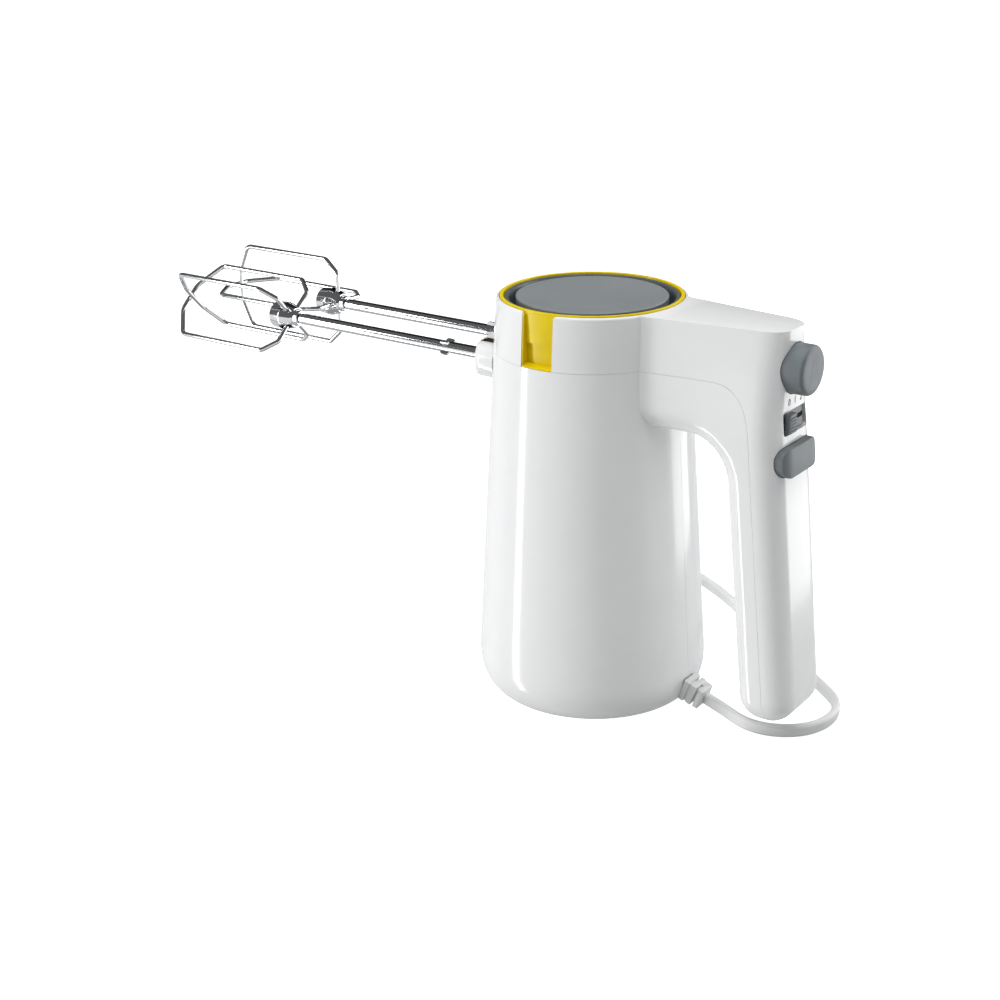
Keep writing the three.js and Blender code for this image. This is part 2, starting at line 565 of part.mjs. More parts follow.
function makeBeater(label, y, roll) {
  const place = (geometry) => geometry.translate(0, y, SPINDLE_Z);
  const turns = THREE.MathUtils.degToRad(roll);
  const shaft = rod(SHAFT_RADIUS, HUB_BACK_X + GAP, 2, 12).rotateY(Math.PI / 2);
  const fins = [0, 1].map((i) => box([-61.5, -57.5], [-3.7, 3.7], [-0.5, 0.5]).rotateX(turns + (i * Math.PI) / 2));
  addPiece(`${label}_beater_shaft`, joined(place(shaft), ...fins.map(place)), 'chrome');

  const hub = turned([[0, HUB_FRONT_X], [HUB_RADIUS, HUB_FRONT_X], [HUB_RADIUS, -145], [3.2, HUB_BACK_X],
    [0, HUB_BACK_X]], 16);
  addPiece(`${label}_beater_hub`, alongX(hub, y, SPINDLE_Z), 'chrome');

  const wire = ellipseSection(WIRE_RADIUS, WIRE_RADIUS, 6);
  const loops = [['outer', LOOP_TIP_X, 0], ['inner', LOOP_TIP_X + 2 * WIRE_RADIUS + 0.4, Math.PI / 2]];
  for (const [which, tipX, quarter] of loops) {
    const points = loopPoints(tipX).map(([x, radius]) => [x, radius, 0]);
    const loop = tube(points, wire, 32).rotateX(turns + quarter);
    addPiece(`${label}_${which}_loop`, place(loop), 'chrome');
  }
}

// ---------------------------------------------------------------- controls
function makeControls() {
  const backX = EJECT_FACE_X - 10.6;
  const button = turned([[0, backX], [EJECT_RADIUS, backX], [EJECT_RADIUS, EJECT_FACE_X - 1.6],
    [EJECT_RADIUS - 1.2, EJECT_FACE_X], [0, EJECT_FACE_X]], 20);
  addPiece('eject_button', alongX(button, 0, EJECT_Z), 'greyPlastic');
  const yokeX = PIN_HEAD_X + 2 + GAP;
  const bar = box([yokeX, backX - GAP], [-2, 2], [ROD_Z - 2, ROD_Z + 2]);
  const yoke = box([yokeX, yokeX + 2], [-18, 18], [SPINDLE_Z - 4, ROD_Z + 2]);
  const collar = box([74, 76], [-5, 5], [ROD_Z - 5, ROD_Z + 5]);
  addPiece('eject_rod', joined(bar, yoke, collar), 'darkPlastic');
  const springTurns = 6;
  const ejectSpring = helixWire(4.3, 0.45, (74 - 51.6 - 2) / springTurns, springTurns, 8, 4);
  addPiece('eject_spring', alongX(ejectSpring.translate(0, 0, 52.6), 0, ROD_Z), 'steel');

  const turbo = handleBar(TURBO_PROUD).subtract(handleBar(-5)).intersect(solid(pillPrism(0)));
  addPiece('turbo_button', turbo, 'greyPlastic');
  const turboBack = handleX(TURBO_Z) + HANDLE_DEPTH / 2 - 5;
  const turboSpring = helixWire(2, 0.35, 0.9, 3, 8, 4);
  addPiece('turbo_spring', alongX(turboSpring.translate(0, 0, turboBack - 3.6), 0, TURBO_Z), 'steel');
  addPiece('turbo_switch', box([turboBack - 13, turboBack - 4.2], [-5, 5], [TURBO_Z - 5, TURBO_Z + 3]),
    'darkPlastic');

  const [windowLow, windowHigh] = [WINDOW_Z - WINDOW_HEIGHT / 2, WINDOW_Z + WINDOW_HEIGHT / 2];
  const frame = box([78, 110], [WINDOW_Y[0] + GAP, WINDOW_Y[1] - GAP], [windowLow + GAP, windowHigh - GAP]);
  const stemSlot = box([70, 110], [KNOB_Y[0] + 0.6, KNOB_Y[1] + 14], [WINDOW_Z - 2, WINDOW_Z + 2]);
  const plate = handleBar(-1.4).subtract(handleBar(-3.2)).intersect(solid(frame)).subtract(solid(stemSlot));
  addPiece('speed_plate', plate, 'greyPlastic');
  const knobX = handleX(WINDOW_Z) + HANDLE_DEPTH / 2;
  const knob = joined(box([knobX - 0.7, knobX + 1.9], KNOB_Y, [WINDOW_Z - 4.2, WINDOW_Z + 4.2]),
    box([knobX - 5.5, knobX], [KNOB_Y[0] + 1.2, KNOB_Y[1] - 1.2], [WINDOW_Z - 1.5, WINDOW_Z + 1.5]));
  addPiece('speed_knob', knob, 'greyPlastic');
  addPiece('speed_switch', box([knobX - 17, knobX - 6], [-8, 9], [WINDOW_Z - 5, WINDOW_Z + 5]), 'darkPlastic');
}

// ---------------------------------------------------------------- lead
// The lead's route along the surface, from the strain relief to the coil and from the coil to the plug.
const FLOOR_Z = CORD_WIDTH / 2 + 0.1;
const TURN_Z = COIL_Z[0] + 0.1 + CORD_WIDTH / 2;
const LEAD_ROUTE = [
  [54.1, 0, 5.1], [60, -0.5, 3.6], [65, -1.9, 3], [70, -4, FLOOR_Z], [74.3, -5.5, FLOOR_Z],
  [78.9, -6.1, FLOOR_Z], [83.5, -5.7, FLOOR_Z], [87.9, -4.3, FLOOR_Z], [91.9, -2.1, FLOOR_Z],
  [95.4, 0.9, FLOOR_Z], [98.2, 4.6, FLOOR_Z], [100.1, 8.8, FLOOR_Z], [101.1, 13.3, FLOOR_Z],
  [101.2, 17.9, FLOOR_Z], [100.3, 22.4, FLOOR_Z], [98.5, 26.6, FLOOR_Z], [95.9, 30.4, FLOOR_Z],
  [92.3, 33.6, FLOOR_Z], [84.3, 39.7, FLOOR_Z], [75.1, 46.6, FLOOR_Z], [65.3, 53.9, FLOOR_Z],
  [55.7, 61, FLOOR_Z], [46, 68, FLOOR_Z], [31, 79, FLOOR_Z], [16, 90, FLOOR_Z], [0, 100, FLOOR_Z],
  [-15, 106.6, 3.3], [-29.4, 109.6, TURN_Z],
];
const TAIL_ROUTE = [[-64.8, 110.2, 9.5], [-72, 110.6, 7.6], [-80, 111, 5.6], [-88, 111, 5.2]];

function makeLead() {
  const rib = (start) => box([start, start + 2.4], [-4.6, 4.6], [-4.7, 4.7]);
  const core = box([-20, 0], [-3, 3], [-3.6, 3.6]);
  const flange = box([-16, -14], [-5.5, 5.5], [-5.2, 5.2]);
  const pieces = [core, flange, rib(-9), rib(-5.7), rib(-2.4)];
  addPiece('strain_relief', joined(...pieces.map(reliefFrame)), 'whitePlastic');

  const flat = ellipseSection(CORD_THICKNESS / 2 / Math.cos(Math.PI / 8), CORD_WIDTH / 2 / Math.cos(Math.PI / 8), 8);
  addPiece('cord_lead', tube(LEAD_ROUTE, flat, 52), 'cord');
  const inner = COIL_TURNS[0] - COIL_MARGIN;
  const outer = COIL_TURNS[2] + COIL_MARGIN;
  addPiece('cord_coil', sleeve(inner, outer, ...COIL_Z, 32).translate(COIL_X, COIL_Y, 0), 'cord');
  addPiece('cord_tail', tube(TAIL_ROUTE, flat, 6), 'cord');

  const band = cut(solid(box([-2.5, 2.5], [-outer - 1, -inner + 1], [0.1, COIL_Z[1] + 0.9])),
    box([-4, 4], [-outer - 0.35, -inner + 0.35], [0.8, COIL_Z[1] + 0.25]));
  addPiece('cord_tie', band.translate([COIL_X, COIL_Y, 0]), 'darkPlastic');

  const plugX = TAIL_ROUTE[TAIL_ROUTE.length - 1][0] - GAP;
  const plugZ = TAIL_ROUTE[TAIL_ROUTE.length - 1][2];
  const body = joined(box([plugX - 9, plugX], [PLUG_Y - 4.5, PLUG_Y + 4.5], [plugZ - 4.2, plugZ + 4.2]),
    box([plugX - 26, plugX - 8], [PLUG_Y - 10, PLUG_Y + 10], [0.2, 10.6]));
  addPiece('plug_body', body, 'cord');
  for (const [side, y] of [['near', PLUG_Y - PIN_SPACING / 2], ['far', PLUG_Y + PIN_SPACING / 2]]) {
    const blade = box([plugX - 44, plugX - 26.3], [y - 0.75, y + 0.75], [2.3, 8.7]);
    addPiece(`${side}_plug_pin`, blade, 'brass');
  }
}

makeHousing();
makeEndCap();
makeArmature();
makeStator();
makeMotorFrame();
makeGearbox();
makeBeater('near', -SPINDLE_Y, NEAR_ROLL);
makeBeater('far', SPINDLE_Y, 0);
makeControls();
makeLead();

export default mixer;
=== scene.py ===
# %% [markdown]
# # A hand mixer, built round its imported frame
# The mixer is a motor barrel that stands on its closed end, with an arm and a handle beside it and
# two wire beaters in front. The frame holds its solids and joints, in metres, +Z up, with the
# origin at the centre of the barrel's base, the handle towards +X and the beaters towards -X.
# Sizes below are in millimetres and are turned into metres where a mesh is finished, because
# small plastic parts are easier to read that way.

# %% Load the frame
import math
import bmesh
import bpy
from mathutils import Matrix, Vector


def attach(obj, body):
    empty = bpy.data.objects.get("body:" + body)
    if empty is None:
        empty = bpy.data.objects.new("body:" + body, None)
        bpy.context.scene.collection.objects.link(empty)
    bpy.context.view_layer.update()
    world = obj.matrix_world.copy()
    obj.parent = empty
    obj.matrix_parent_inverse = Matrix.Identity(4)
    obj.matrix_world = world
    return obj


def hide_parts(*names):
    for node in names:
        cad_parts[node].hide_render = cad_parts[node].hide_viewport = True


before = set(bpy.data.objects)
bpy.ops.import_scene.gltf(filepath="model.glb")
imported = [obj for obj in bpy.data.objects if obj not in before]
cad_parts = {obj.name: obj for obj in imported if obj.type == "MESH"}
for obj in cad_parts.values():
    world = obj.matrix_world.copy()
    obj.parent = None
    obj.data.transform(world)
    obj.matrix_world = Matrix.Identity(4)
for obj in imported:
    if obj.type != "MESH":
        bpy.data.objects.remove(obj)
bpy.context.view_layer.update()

MM = 0.001

# %% [markdown]
# ## The camera
# The mixer is seen from a little above through a moderately long lens, which keeps the
# barrel's sides nearly parallel. The camera is placed by its angle round the mixer, its height
# above the horizon and its distance from a point in the middle of the barrel. The barrel stands
# right of centre in the frame, so the lens is shifted rather than turned, and stays level.

# %% Camera
AZIMUTH, ELEVATION = math.radians(33.63), math.radians(21.18)
AIM = Vector((0, 0, 0.07785))
DISTANCE = 0.66104

lens = bpy.data.cameras.new("lens")
lens.lens, lens.sensor_width, lens.shift_x = 59.6, 36, -0.0924
lens.clip_start, lens.clip_end = 0.01, 60
camera = bpy.data.objects.new("camera", lens)
bpy.context.scene.collection.objects.link(camera)
towards_camera = Vector((math.sin(AZIMUTH) * math.cos(ELEVATION),
                         -math.cos(AZIMUTH) * math.cos(ELEVATION), math.sin(ELEVATION)))
camera.location = AIM + DISTANCE * towards_camera
camera.rotation_euler = (-towards_camera).to_track_quat("-Z", "Y").to_euler()
bpy.context.scene.camera = camera
print("camera at", [round(v, 3) for v in camera.location])

# %% [markdown]
# ## Tools for the meshes
# Each piece is shaped in a bmesh, Blender's editable mesh, in millimetres. `piece` cleans it,
# turns its faces outwards, scales it to metres and makes the object. Faces that meet at less than
# a chosen angle are shaded as one smooth surface, and sharper edges stay crisp.

# %% Finish a bmesh as a piece
def piece(name, bm, body, replaces=(), smooth=32, clean=True):
    if clean:
        bmesh.ops.remove_doubles(bm, verts=bm.verts, dist=1e-4)
        bmesh.ops.recalc_face_normals(bm, faces=bm.faces)
    bmesh.ops.scale(bm, vec=(MM, MM, MM), verts=bm.verts)
    mesh = bpy.data.meshes.new(name)
    bm.to_mesh(mesh)
    bm.free()
    mesh.polygons.foreach_set("use_smooth", [True] * len(mesh.polygons))
    mesh.set_sharp_from_angle(angle=math.radians(smooth))
    made = bpy.data.objects.new(name, mesh)
    bpy.context.scene.collection.objects.link(made)
    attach(made, body)
    if replaces:
        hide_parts(*replaces)
    print(f"{name}: {len(mesh.polygons)} faces")
    return made


# %% [markdown]
# Most shapes start in one of three ways: a box, a profile that `spin` turns about the Z axis, or
# an outline that is filled and extruded. The turned ones can then be laid along X or Y.

# %% Starting shapes
ALONG_X = Matrix.Rotation(math.pi / 2, 4, "Y")


def start_box(xs, ys, zs):
    bm = bmesh.new()
    bmesh.ops.create_cube(bm, size=1)
    bmesh.ops.scale(bm, vec=(xs[1] - xs[0], ys[1] - ys[0], zs[1] - zs[0]), verts=bm.verts)
    middle = Vector(((xs[0] + xs[1]) / 2, (ys[0] + ys[1]) / 2, (zs[0] + zs[1]) / 2))
    bmesh.ops.translate(bm, vec=middle, verts=bm.verts)
    return bm


def start_turned(profile, steps=96, place=None):
    """profile is a list of (radius, height) that ends on the axis, or else closes on itself."""
    bm = bmesh.new()
    verts = [bm.verts.new((radius, 0, height)) for radius, height in profile]
    edges = [bm.edges.new(pair) for pair in zip(verts, verts[1:])]
    if profile[0][0] > 0:
        edges.append(bm.edges.new((verts[-1], verts[0])))
    bmesh.ops.spin(bm, geom=verts + edges, axis=(0, 0, 1), cent=(0, 0, 0), angle=2 * math.pi,
                   steps=steps, use_merge=True)
    bmesh.ops.remove_doubles(bm, verts=bm.verts, dist=1e-4)
    bmesh.ops.recalc_face_normals(bm, faces=bm.faces)
    if place:
        bmesh.ops.transform(bm, matrix=place, verts=bm.verts)
    return bm


def start_outline(points, along, near, far):
    """A filled outline, extruded from near to far along an axis; points are its other two coordinates."""
    corner = {"x": lambda u, v: (near, u, v), "y": lambda u, v: (u, near, v), "z": lambda u, v: (u, v, near)}
    push = {"x": (far - near, 0, 0), "y": (0, far - near, 0), "z": (0, 0, far - near)}
    bm = bmesh.new()
    face = bm.faces.new([bm.verts.new(corner[along](u, v)) for u, v in points])
    raised = bmesh.ops.extrude_face_region(bm, geom=[face])
    moved = [item for item in raised["geom"] if isinstance(item, bmesh.types.BMVert)]
    bmesh.ops.translate(bm, vec=push[along], verts=moved)
    bmesh.ops.recalc_face_normals(bm, faces=bm.faces)
    return bm


def arc(centre, radius, start, end, steps):
    """Points of an arc in a plane, angles in degrees."""
    turns = [math.radians(start + (end - start) * i / steps) for i in range(steps + 1)]
    return [(centre[0] + radius * math.cos(t), centre[1] + radius * math.sin(t)) for t in turns]


def rounded_outline(corners, steps=8):
    """corners is a list of (u, v, radius); each corner becomes an arc of that radius."""
    points = []
    for i, (u, v, radius) in enumerate(corners):
        here = Vector((u, v))
        before = (Vector(corners[i - 1][:2]) - here).normalized()
        after = (Vector(corners[(i + 1) % len(corners)][:2]) - here).normalized()
        if radius == 0:
            points.append((u, v))
            continue
        half = math.acos(max(-1, min(1, before.dot(after)))) / 2
        centre = here + (before + after).normalized() * (radius / math.sin(half))
        first, last = before * (radius / math.tan(half)), after * (radius / math.tan(half))
        a, b = (here + first) - centre, (here + last) - centre
        swing = a.angle_signed(b)
        for k in range(steps + 1):
            turned = a.copy()
            turned.rotate(Matrix.Rotation(-swing * k / steps, 2))
            points.append(tuple(centre + turned))
    return points


def soften(bm, offset, segments=3, angle=30, keep=None):
    """Bevels the edges sharper than angle, all of them or those that keep(edge) chooses."""
    sharp = [edge for edge in bm.edges if len(edge.link_faces) == 2
             and edge.calc_face_angle(0) > math.radians(angle) and (keep is None or keep(edge))]
    bmesh.ops.bevel(bm, geom=sharp, offset=offset, segments=segments, profile=0.5, affect="EDGES",
                    material=-1, clamp_overlap=True)
    return bm


def merge_in(bm, *others):
    """Adds other bmeshes to this one as they are."""
    for other in others:
        mesh = bpy.data.meshes.new("part")
        other.to_mesh(mesh)
        other.free()
        bm.from_mesh(mesh)
        bpy.data.meshes.remove(mesh)
    return bm


# %% [markdown]
# Housings need real holes and joints between solids. A Boolean modifier does that best, so
# `combine` puts each bmesh in a throwaway object, runs the modifiers on the first one and hands
# back the result as a bmesh. The manifold solver is quick and leaves closed solids closed.

# %% Add and cut solids
def throwaway(bm):
    mesh = bpy.data.meshes.new("tool")
    bm.to_mesh(mesh)
    bm.free()
    made = bpy.data.objects.new("tool", mesh)
    bpy.context.scene.collection.objects.link(made)
    return made


def combine(bm, *steps):
    """steps is a list of (operation, bmesh), with the operation UNION, DIFFERENCE or INTERSECT."""
    blank = throwaway(bm)
    tools = []
    for operation, tool in steps:
        tools.append(throwaway(tool))
        cut = blank.modifiers.new("cut", "BOOLEAN")
        cut.operation, cut.object, cut.solver = operation, tools[-1], "MANIFOLD"
    shape = blank.evaluated_get(bpy.context.evaluated_depsgraph_get())
    result = bmesh.new()
    result.from_mesh(shape.to_mesh())
    shape.to_mesh_clear()
    for used in [blank, *tools]:
        mesh = used.data
        bpy.data.objects.remove(used)
        bpy.data.meshes.remove(mesh)
    return result


# %% [markdown]
# ## The mains lead
# The lead is a flat twin cable, 5.4 mm by 3.2 mm, that stands on its edge. It leaves the bottom
# of the barrel towards +X, falls to the table, passes under the handle, turns back and is put away
# in a coil behind the barrel: two layers of flat turns, held by a strap, with the plug beside it.
# A curve with a bevel object makes it: the route is one spline, and a small closed profile is
# swept along it with its width kept upright. The profile is drawn in millimetres, and the radius of
# the route's points brings it down to size.

# %% Route of the lead
LEAD_START = [(54.1, 0, 5.1), (60, -0.5, 3.6), (65, -1.9, 3.0), (70, -4, 2.8), (74.3, -5.5, 2.8),
              (78.9, -6.1, 2.8), (83.5, -5.7, 2.8), (87.9, -4.3, 2.8), (91.9, -2.1, 2.8), (95.4, 0.9, 2.8),
              (98.2, 4.6, 2.8), (100.1, 8.8, 2.8), (101.1, 13.3, 2.8), (101.2, 17.9, 2.8),
              (100.3, 22.4, 2.8), (98.5, 26.6, 2.8), (95.9, 30.4, 2.8), (92.3, 33.6, 2.8),
              (84.3, 39.7, 2.8), (75.1, 46.6, 2.8), (65.3, 53.9, 2.8), (55.7, 61, 2.8), (46, 68, 2.8),
              (31, 79, 2.8), (16, 90, 2.8), (0, 100, 2.8), (-15, 106.6, 3.3), (-29.4, 109.6, 3.9)]
LEAD_END = [(-64.8, 110.2, 9.3), (-72, 110.6, 7.6), (-80, 111, 5.9), (-88, 111, 5.3)]
COIL_CENTRE, COIL_OUTER, COIL_PITCH = (-47, 75), 35.2, 3.7
CLIMB_FROM, CLIMB_TO, COIL_END = 2.3, 2.7, 5.0
LOW_LAYER, HIGH_LAYER = 3.9, 9.4


def coil_point(turn):
    """A point after so many turns: in along the lower layer, up, and out along the upper one."""
    rise = min(1, max(0, (turn - CLIMB_FROM) / (CLIMB_TO - CLIMB_FROM)))
    wound = min(turn, CLIMB_FROM) - max(0, turn - CLIMB_TO)
    radius = COIL_OUTER - COIL_PITCH * wound
    angle = math.pi / 2 + 2 * math.pi * turn
    height = LOW_LAYER + (HIGH_LAYER - LOW_LAYER) * (3 - 2 * rise) * rise ** 2
    return (COIL_CENTRE[0] + radius * math.cos(angle), COIL_CENTRE[1] + radius * math.sin(angle), height)


COIL_STEPS = 24
coil_route = [coil_point(i / COIL_STEPS) for i in range(int(COIL_END * COIL_STEPS) + 1)]
lead_route = LEAD_START + coil_route + LEAD_END
print("lead:", len(lead_route), "points,", len(coil_route), "of them in the coil")


# %% Flat profile and the lead itself
def closed_profile(name, points):
    """A flat closed curve in millimetres that other curves sweep; it isn't shown."""
    curve = bpy.data.curves.new(name, "CURVE")
    curve.dimensions = "2D"
    spline = curve.splines.new("POLY")
    spline.points.add(len(points) - 1)
    for target, (u, v) in zip(spline.points, points):
        target.co = (u, v, 0, 1)
    spline.use_cyclic_u = True
    made = bpy.data.objects.new(name, curve)
    bpy.context.scene.collection.objects.link(made)
    made.hide_render = True
    return made


def swept(name, points, profile, resolution=3):
    curve = bpy.data.curves.new(name, "CURVE")
    curve.dimensions, curve.twist_mode = "3D", "Z_UP"
    curve.bevel_mode, curve.bevel_object, curve.use_fill_caps = "OBJECT", profile, True
    curve.resolution_u = resolution
    spline = curve.splines.new("BEZIER")
    spline.bezier_points.add(len(points) - 1)
    for target, point in zip(spline.bezier_points, points):
        target.co, target.radius = Vector(point) * MM, MM
        target.handle_left_type = target.handle_right_type = "AUTO"
    made = bpy.data.objects.new(name, curve)
    bpy.context.scene.collection.objects.link(made)
    return made


CORE_RADIUS, CORE_APART, GROOVE = 1.6, 1.1, 0.22
flex_section = ([(CORE_RADIUS - GROOVE, 0)] + arc((0, CORE_APART), CORE_RADIUS, 0, 180, 12)
                + [(GROOVE - CORE_RADIUS, 0)] + arc((0, -CORE_APART), CORE_RADIUS, 180, 360, 12))
flex_profile = closed_profile("flex_profile", flex_section)
lead = swept("mains_lead", lead_route, flex_profile)


# %% [markdown]
# The plug is moulded on: a block with rounded edges, a tapered neck with three grip ribs, and two
# flat blades with rounded ends. Bevels on a box give all of these. The strap is a rounded loop of
# hook-and-loop tape round one side of the coil, made from an outline extruded along X.

# %% Plug, blades and strap
PLUG_FRONT, PLUG_BACK, PLUG_Y, PLUG_Z = -114.3, -96.3, 111, 5.4
BLADE_SPACING, BLADE_TIP = 12.7, -132.3
plug_bm = soften(start_box((PLUG_FRONT, PLUG_BACK), (101, 121), (0.2, 10.6)), 2.6, segments=5)
neck_bm = start_box((PLUG_BACK - 1, -88.3), (PLUG_Y - 4, PLUG_Y + 4), (PLUG_Z - 3.9, PLUG_Z + 3.9))
for vert in neck_bm.verts:
    if vert.co.x > PLUG_BACK:
        vert.co.y = PLUG_Y + 0.75 * (vert.co.y - PLUG_Y)
        vert.co.z = PLUG_Z + 0.85 * (vert.co.z - PLUG_Z)
soften(neck_bm, 0.8)
ribs = [soften(start_box((x - 0.8, x + 0.8), (PLUG_Y - 4.4, PLUG_Y + 4.4), (PLUG_Z - 4.1, PLUG_Z + 4.1)), 0.5)
        for x in (-94.4, -91.8)]
grip = [soften(start_box((x - 0.6, x + 0.6), (104, 118), (10.1, 10.9)), 0.3) for x in (-109, -106, -103)]
plug_bm = combine(plug_bm, *[("UNION", added) for added in (neck_bm, *ribs)],
                  *[("DIFFERENCE", groove) for groove in grip])
plug = piece("plug", plug_bm, "housing", ["plug_body"])

pins = []
for label, y in (("near", PLUG_Y - BLADE_SPACING / 2), ("far", PLUG_Y + BLADE_SPACING / 2)):
    blade = start_box((BLADE_TIP, PLUG_FRONT + 0.3), (y - 0.75, y + 0.75), (2.3, 8.7))
    soften(blade, 2.2, segments=5, keep=lambda e: all(v.co.x < BLADE_TIP + 0.3 for v in e.verts)
           and abs(e.verts[0].co.y - e.verts[1].co.y) > 1)
    soften(blade, 0.15, segments=2)
    hole = start_turned([(0, -3), (1.5, -3), (1.5, 3), (0, 3)], steps=24,
                        place=Matrix.Rotation(math.pi / 2, 4, "X"))
    bmesh.ops.translate(hole, vec=(BLADE_TIP + 4.1, y, PLUG_Z + 0.1), verts=hole.verts)
    pins.append(piece(f"{label}_blade", combine(blade, ("DIFFERENCE", hole)), "housing",
                      [f"{label}_plug_pin"]))

STRAP_Y, STRAP_Z, STRAP_THICKNESS = (36.8, 51.2), (0.1, 13.4), 0.6


def strap_outline(inset, low_round, high_round):
    low_y, high_y = STRAP_Y[0] + inset, STRAP_Y[1] - inset
    low_z, high_z = STRAP_Z[0] + inset, STRAP_Z[1] - inset
    return rounded_outline([(low_y, low_z, low_round), (high_y, low_z, low_round),
                            (high_y, high_z, high_round), (low_y, high_z, high_round)])


strap_bm = combine(start_outline(strap_outline(0, 1.6, 2), "x", -49.5, -44.5),
                   ("DIFFERENCE", start_outline(strap_outline(STRAP_THICKNESS, 1.2, 1.6), "x", -50, -44)))
strap = piece("strap", soften(strap_bm, 0.12, segments=2, angle=50), "housing", ["cord_tie"])

# %% [markdown]
# Where the lead enters the barrel a strain relief keeps it from bending sharply: a tapered core
# with a collar and three square ribs, joined by bridges on alternate sides. It's modelled lying
# along X and then tilted to the angle at which the lead comes out.

# %% Strain relief
EXIT, PITCH = (53.8, 0, 5.2), math.radians(20)
relief_core = start_box((-20, 0), (-3, 3), (-3.6, 3.6))
for vert in relief_core.verts:
    if vert.co.x > -1:
        vert.co.y, vert.co.z = 0.82 * vert.co.y, 0.86 * vert.co.z
soften(relief_core, 0.6)
relief_parts = [("UNION", soften(start_box((-16, -14), (-5.4, 5.4), (-5.1, 5.1)), 0.4))]
for i, start in enumerate((-9.0, -5.7, -2.4)):
    taper = 1 - 0.05 * i
    half_y, half_z = 4.6 * taper, 4.7 * taper
    rib = soften(start_box((start, start + 2.4), (-half_y, half_y), (-half_z, half_z)), 0.45)
    relief_parts.append(("UNION", rib))
for i, start in enumerate((-6.6, -3.3)):
    side = 1 if i else -1
    bridge = start_box((start - 0.2, start + 1.1), sorted((side * 0.4, side * 3.9)), (-4.2, 4.2))
    relief_parts.append(("UNION", soften(bridge, 0.3)))
relief_bm = combine(relief_core, *relief_parts)
bmesh.ops.rotate(relief_bm, cent=(0, 0, 0), matrix=Matrix.Rotation(PITCH, 3, "Y"), verts=relief_bm.verts)
bmesh.ops.translate(relief_bm, vec=EXIT, verts=relief_bm.verts)
relief = piece("strain_relief_sleeve", relief_bm, "housing", ["strain_relief"])

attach(lead, "housing")
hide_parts("cord_lead", "cord_coil", "cord_tail")


# %% [markdown]
# ## Table and light
# The mixer stands on a plain white table that runs out of sight. White plastic is shaped by what
# lights and mirrors in it, so the lights are large and plain: one overhead, a panel on the left
# that brightens the barrel's side, a narrow strip beside it that draws a long upright highlight,
# and a panel behind on the right. The front stays darker, so the barrel looks round. Mirrored
# rays leave an upright wall downwards, where a table would hide the strip, so the table is left
# out of mirror images and lets lamps through. The overhead light and the left panel only light
# the mixer and don't mirror in it, which leaves chrome dark above and white below.

# %% Table
table_bm = bmesh.new()
bmesh.ops.create_circle(table_bm, cap_ends=True, segments=96, radius=12000)
table_mesh = bpy.data.meshes.new("table")
bmesh.ops.scale(table_bm, vec=(MM, MM, MM), verts=table_bm.verts)
table_bm.to_mesh(table_mesh)
table_bm.free()
table = bpy.data.objects.new("table", table_mesh)
bpy.context.scene.collection.objects.link(table)
table.visible_glossy = table.visible_shadow = False


# %% Lights
def facing(turn, elevation, distance, aim=(0, 0, 0.08)):
    """A place turned from the camera's side, positive to its right, and raised, that faces aim."""
    a, e = AZIMUTH + math.radians(turn), math.radians(elevation)
    out = Vector((math.sin(a) * math.cos(e), -math.cos(a) * math.cos(e), math.sin(e)))
    return Matrix.Translation(Vector(aim) + distance * out) @ (-out).to_track_quat("-Z", "Y").to_matrix().to_4x4()


def soft_light(name, turn, elevation, distance, size, radiance):
    data = bpy.data.lights.new(name, "AREA")
    data.shape, data.size, data.size_y = "RECTANGLE", *size
    data.energy = math.pi * radiance * size[0] * size[1]
    lamp = bpy.data.objects.new(name, data)
    bpy.context.scene.collection.objects.link(lamp)
    lamp.matrix_world = facing(turn, elevation, distance)
    return lamp


overhead = soft_light("overhead", 10, 84, 1.3, (1.1, 1.1), 4.4)
left_panel = soft_light("left_panel", -78, 12, 1.3, (0.8, 1.6), 1.75)
soft_light("left_strip", -82, -8, 1.1, (0.13, 1.5), 9.0)
soft_light("right_panel", 112, 12, 1.3, (0.8, 1.6), 2.5)
overhead.visible_glossy = left_panel.visible_glossy = False


# %% [markdown]
# Two more things are there for the mirror images. A black card behind is seen by mirrored rays
# alone. The room is dim above the horizon and glows below it, where the table would be white.

# %% Dark card and room
def card(name, turn, elevation, distance, size):
    bm = bmesh.new()
    bmesh.ops.create_grid(bm, x_segments=1, y_segments=1, size=0.5)
    bmesh.ops.scale(bm, vec=(size[0], size[1], 1), verts=bm.verts)
    bmesh.ops.transform(bm, matrix=facing(turn, elevation, distance), verts=bm.verts)
    mesh = bpy.data.meshes.new(name)
    bm.to_mesh(mesh)
    bm.free()
    made = bpy.data.objects.new(name, mesh)
    bpy.context.scene.collection.objects.link(made)
    made.visible_camera = made.visible_diffuse = made.visible_shadow = False
    return made


cards = [card("back_card", 165, 42, 2.4, (3.4, 2.2))]

world = bpy.data.worlds.new("room")
bpy.context.scene.world = world
world.use_nodes = True
nodes, links = world.node_tree.nodes, world.node_tree.links
direction = nodes.new("ShaderNodeSeparateXYZ")
links.new(nodes.new("ShaderNodeTexCoord").outputs["Generated"], direction.inputs[0])
level = nodes.new("ShaderNodeMapRange")
level.inputs["From Min"].default_value, level.inputs["From Max"].default_value = -1.0, 1.0
links.new(direction.outputs["Z"], level.inputs["Value"])
brightness = nodes.new("ShaderNodeValToRGB")
stops = brightness.color_ramp.elements
stops[0].position, stops[0].color = 0.08, (0.3, 0.3, 0.3, 1)
stops[1].position, stops[1].color = 0.52, (0.11, 0.11, 0.11, 1)
for position, value in ((0.2, 0.75), (0.48, 0.85)):
    stops.new(position).color = (value, value, value, 1)
links.new(level.outputs[0], brightness.inputs[0])
links.new(brightness.outputs[0], nodes["Background"].inputs["Strength"])
nodes["Background"].inputs["Color"].default_value = (0.97, 0.985, 1.0, 1)
bpy.context.scene.view_settings.view_transform = "Standard"


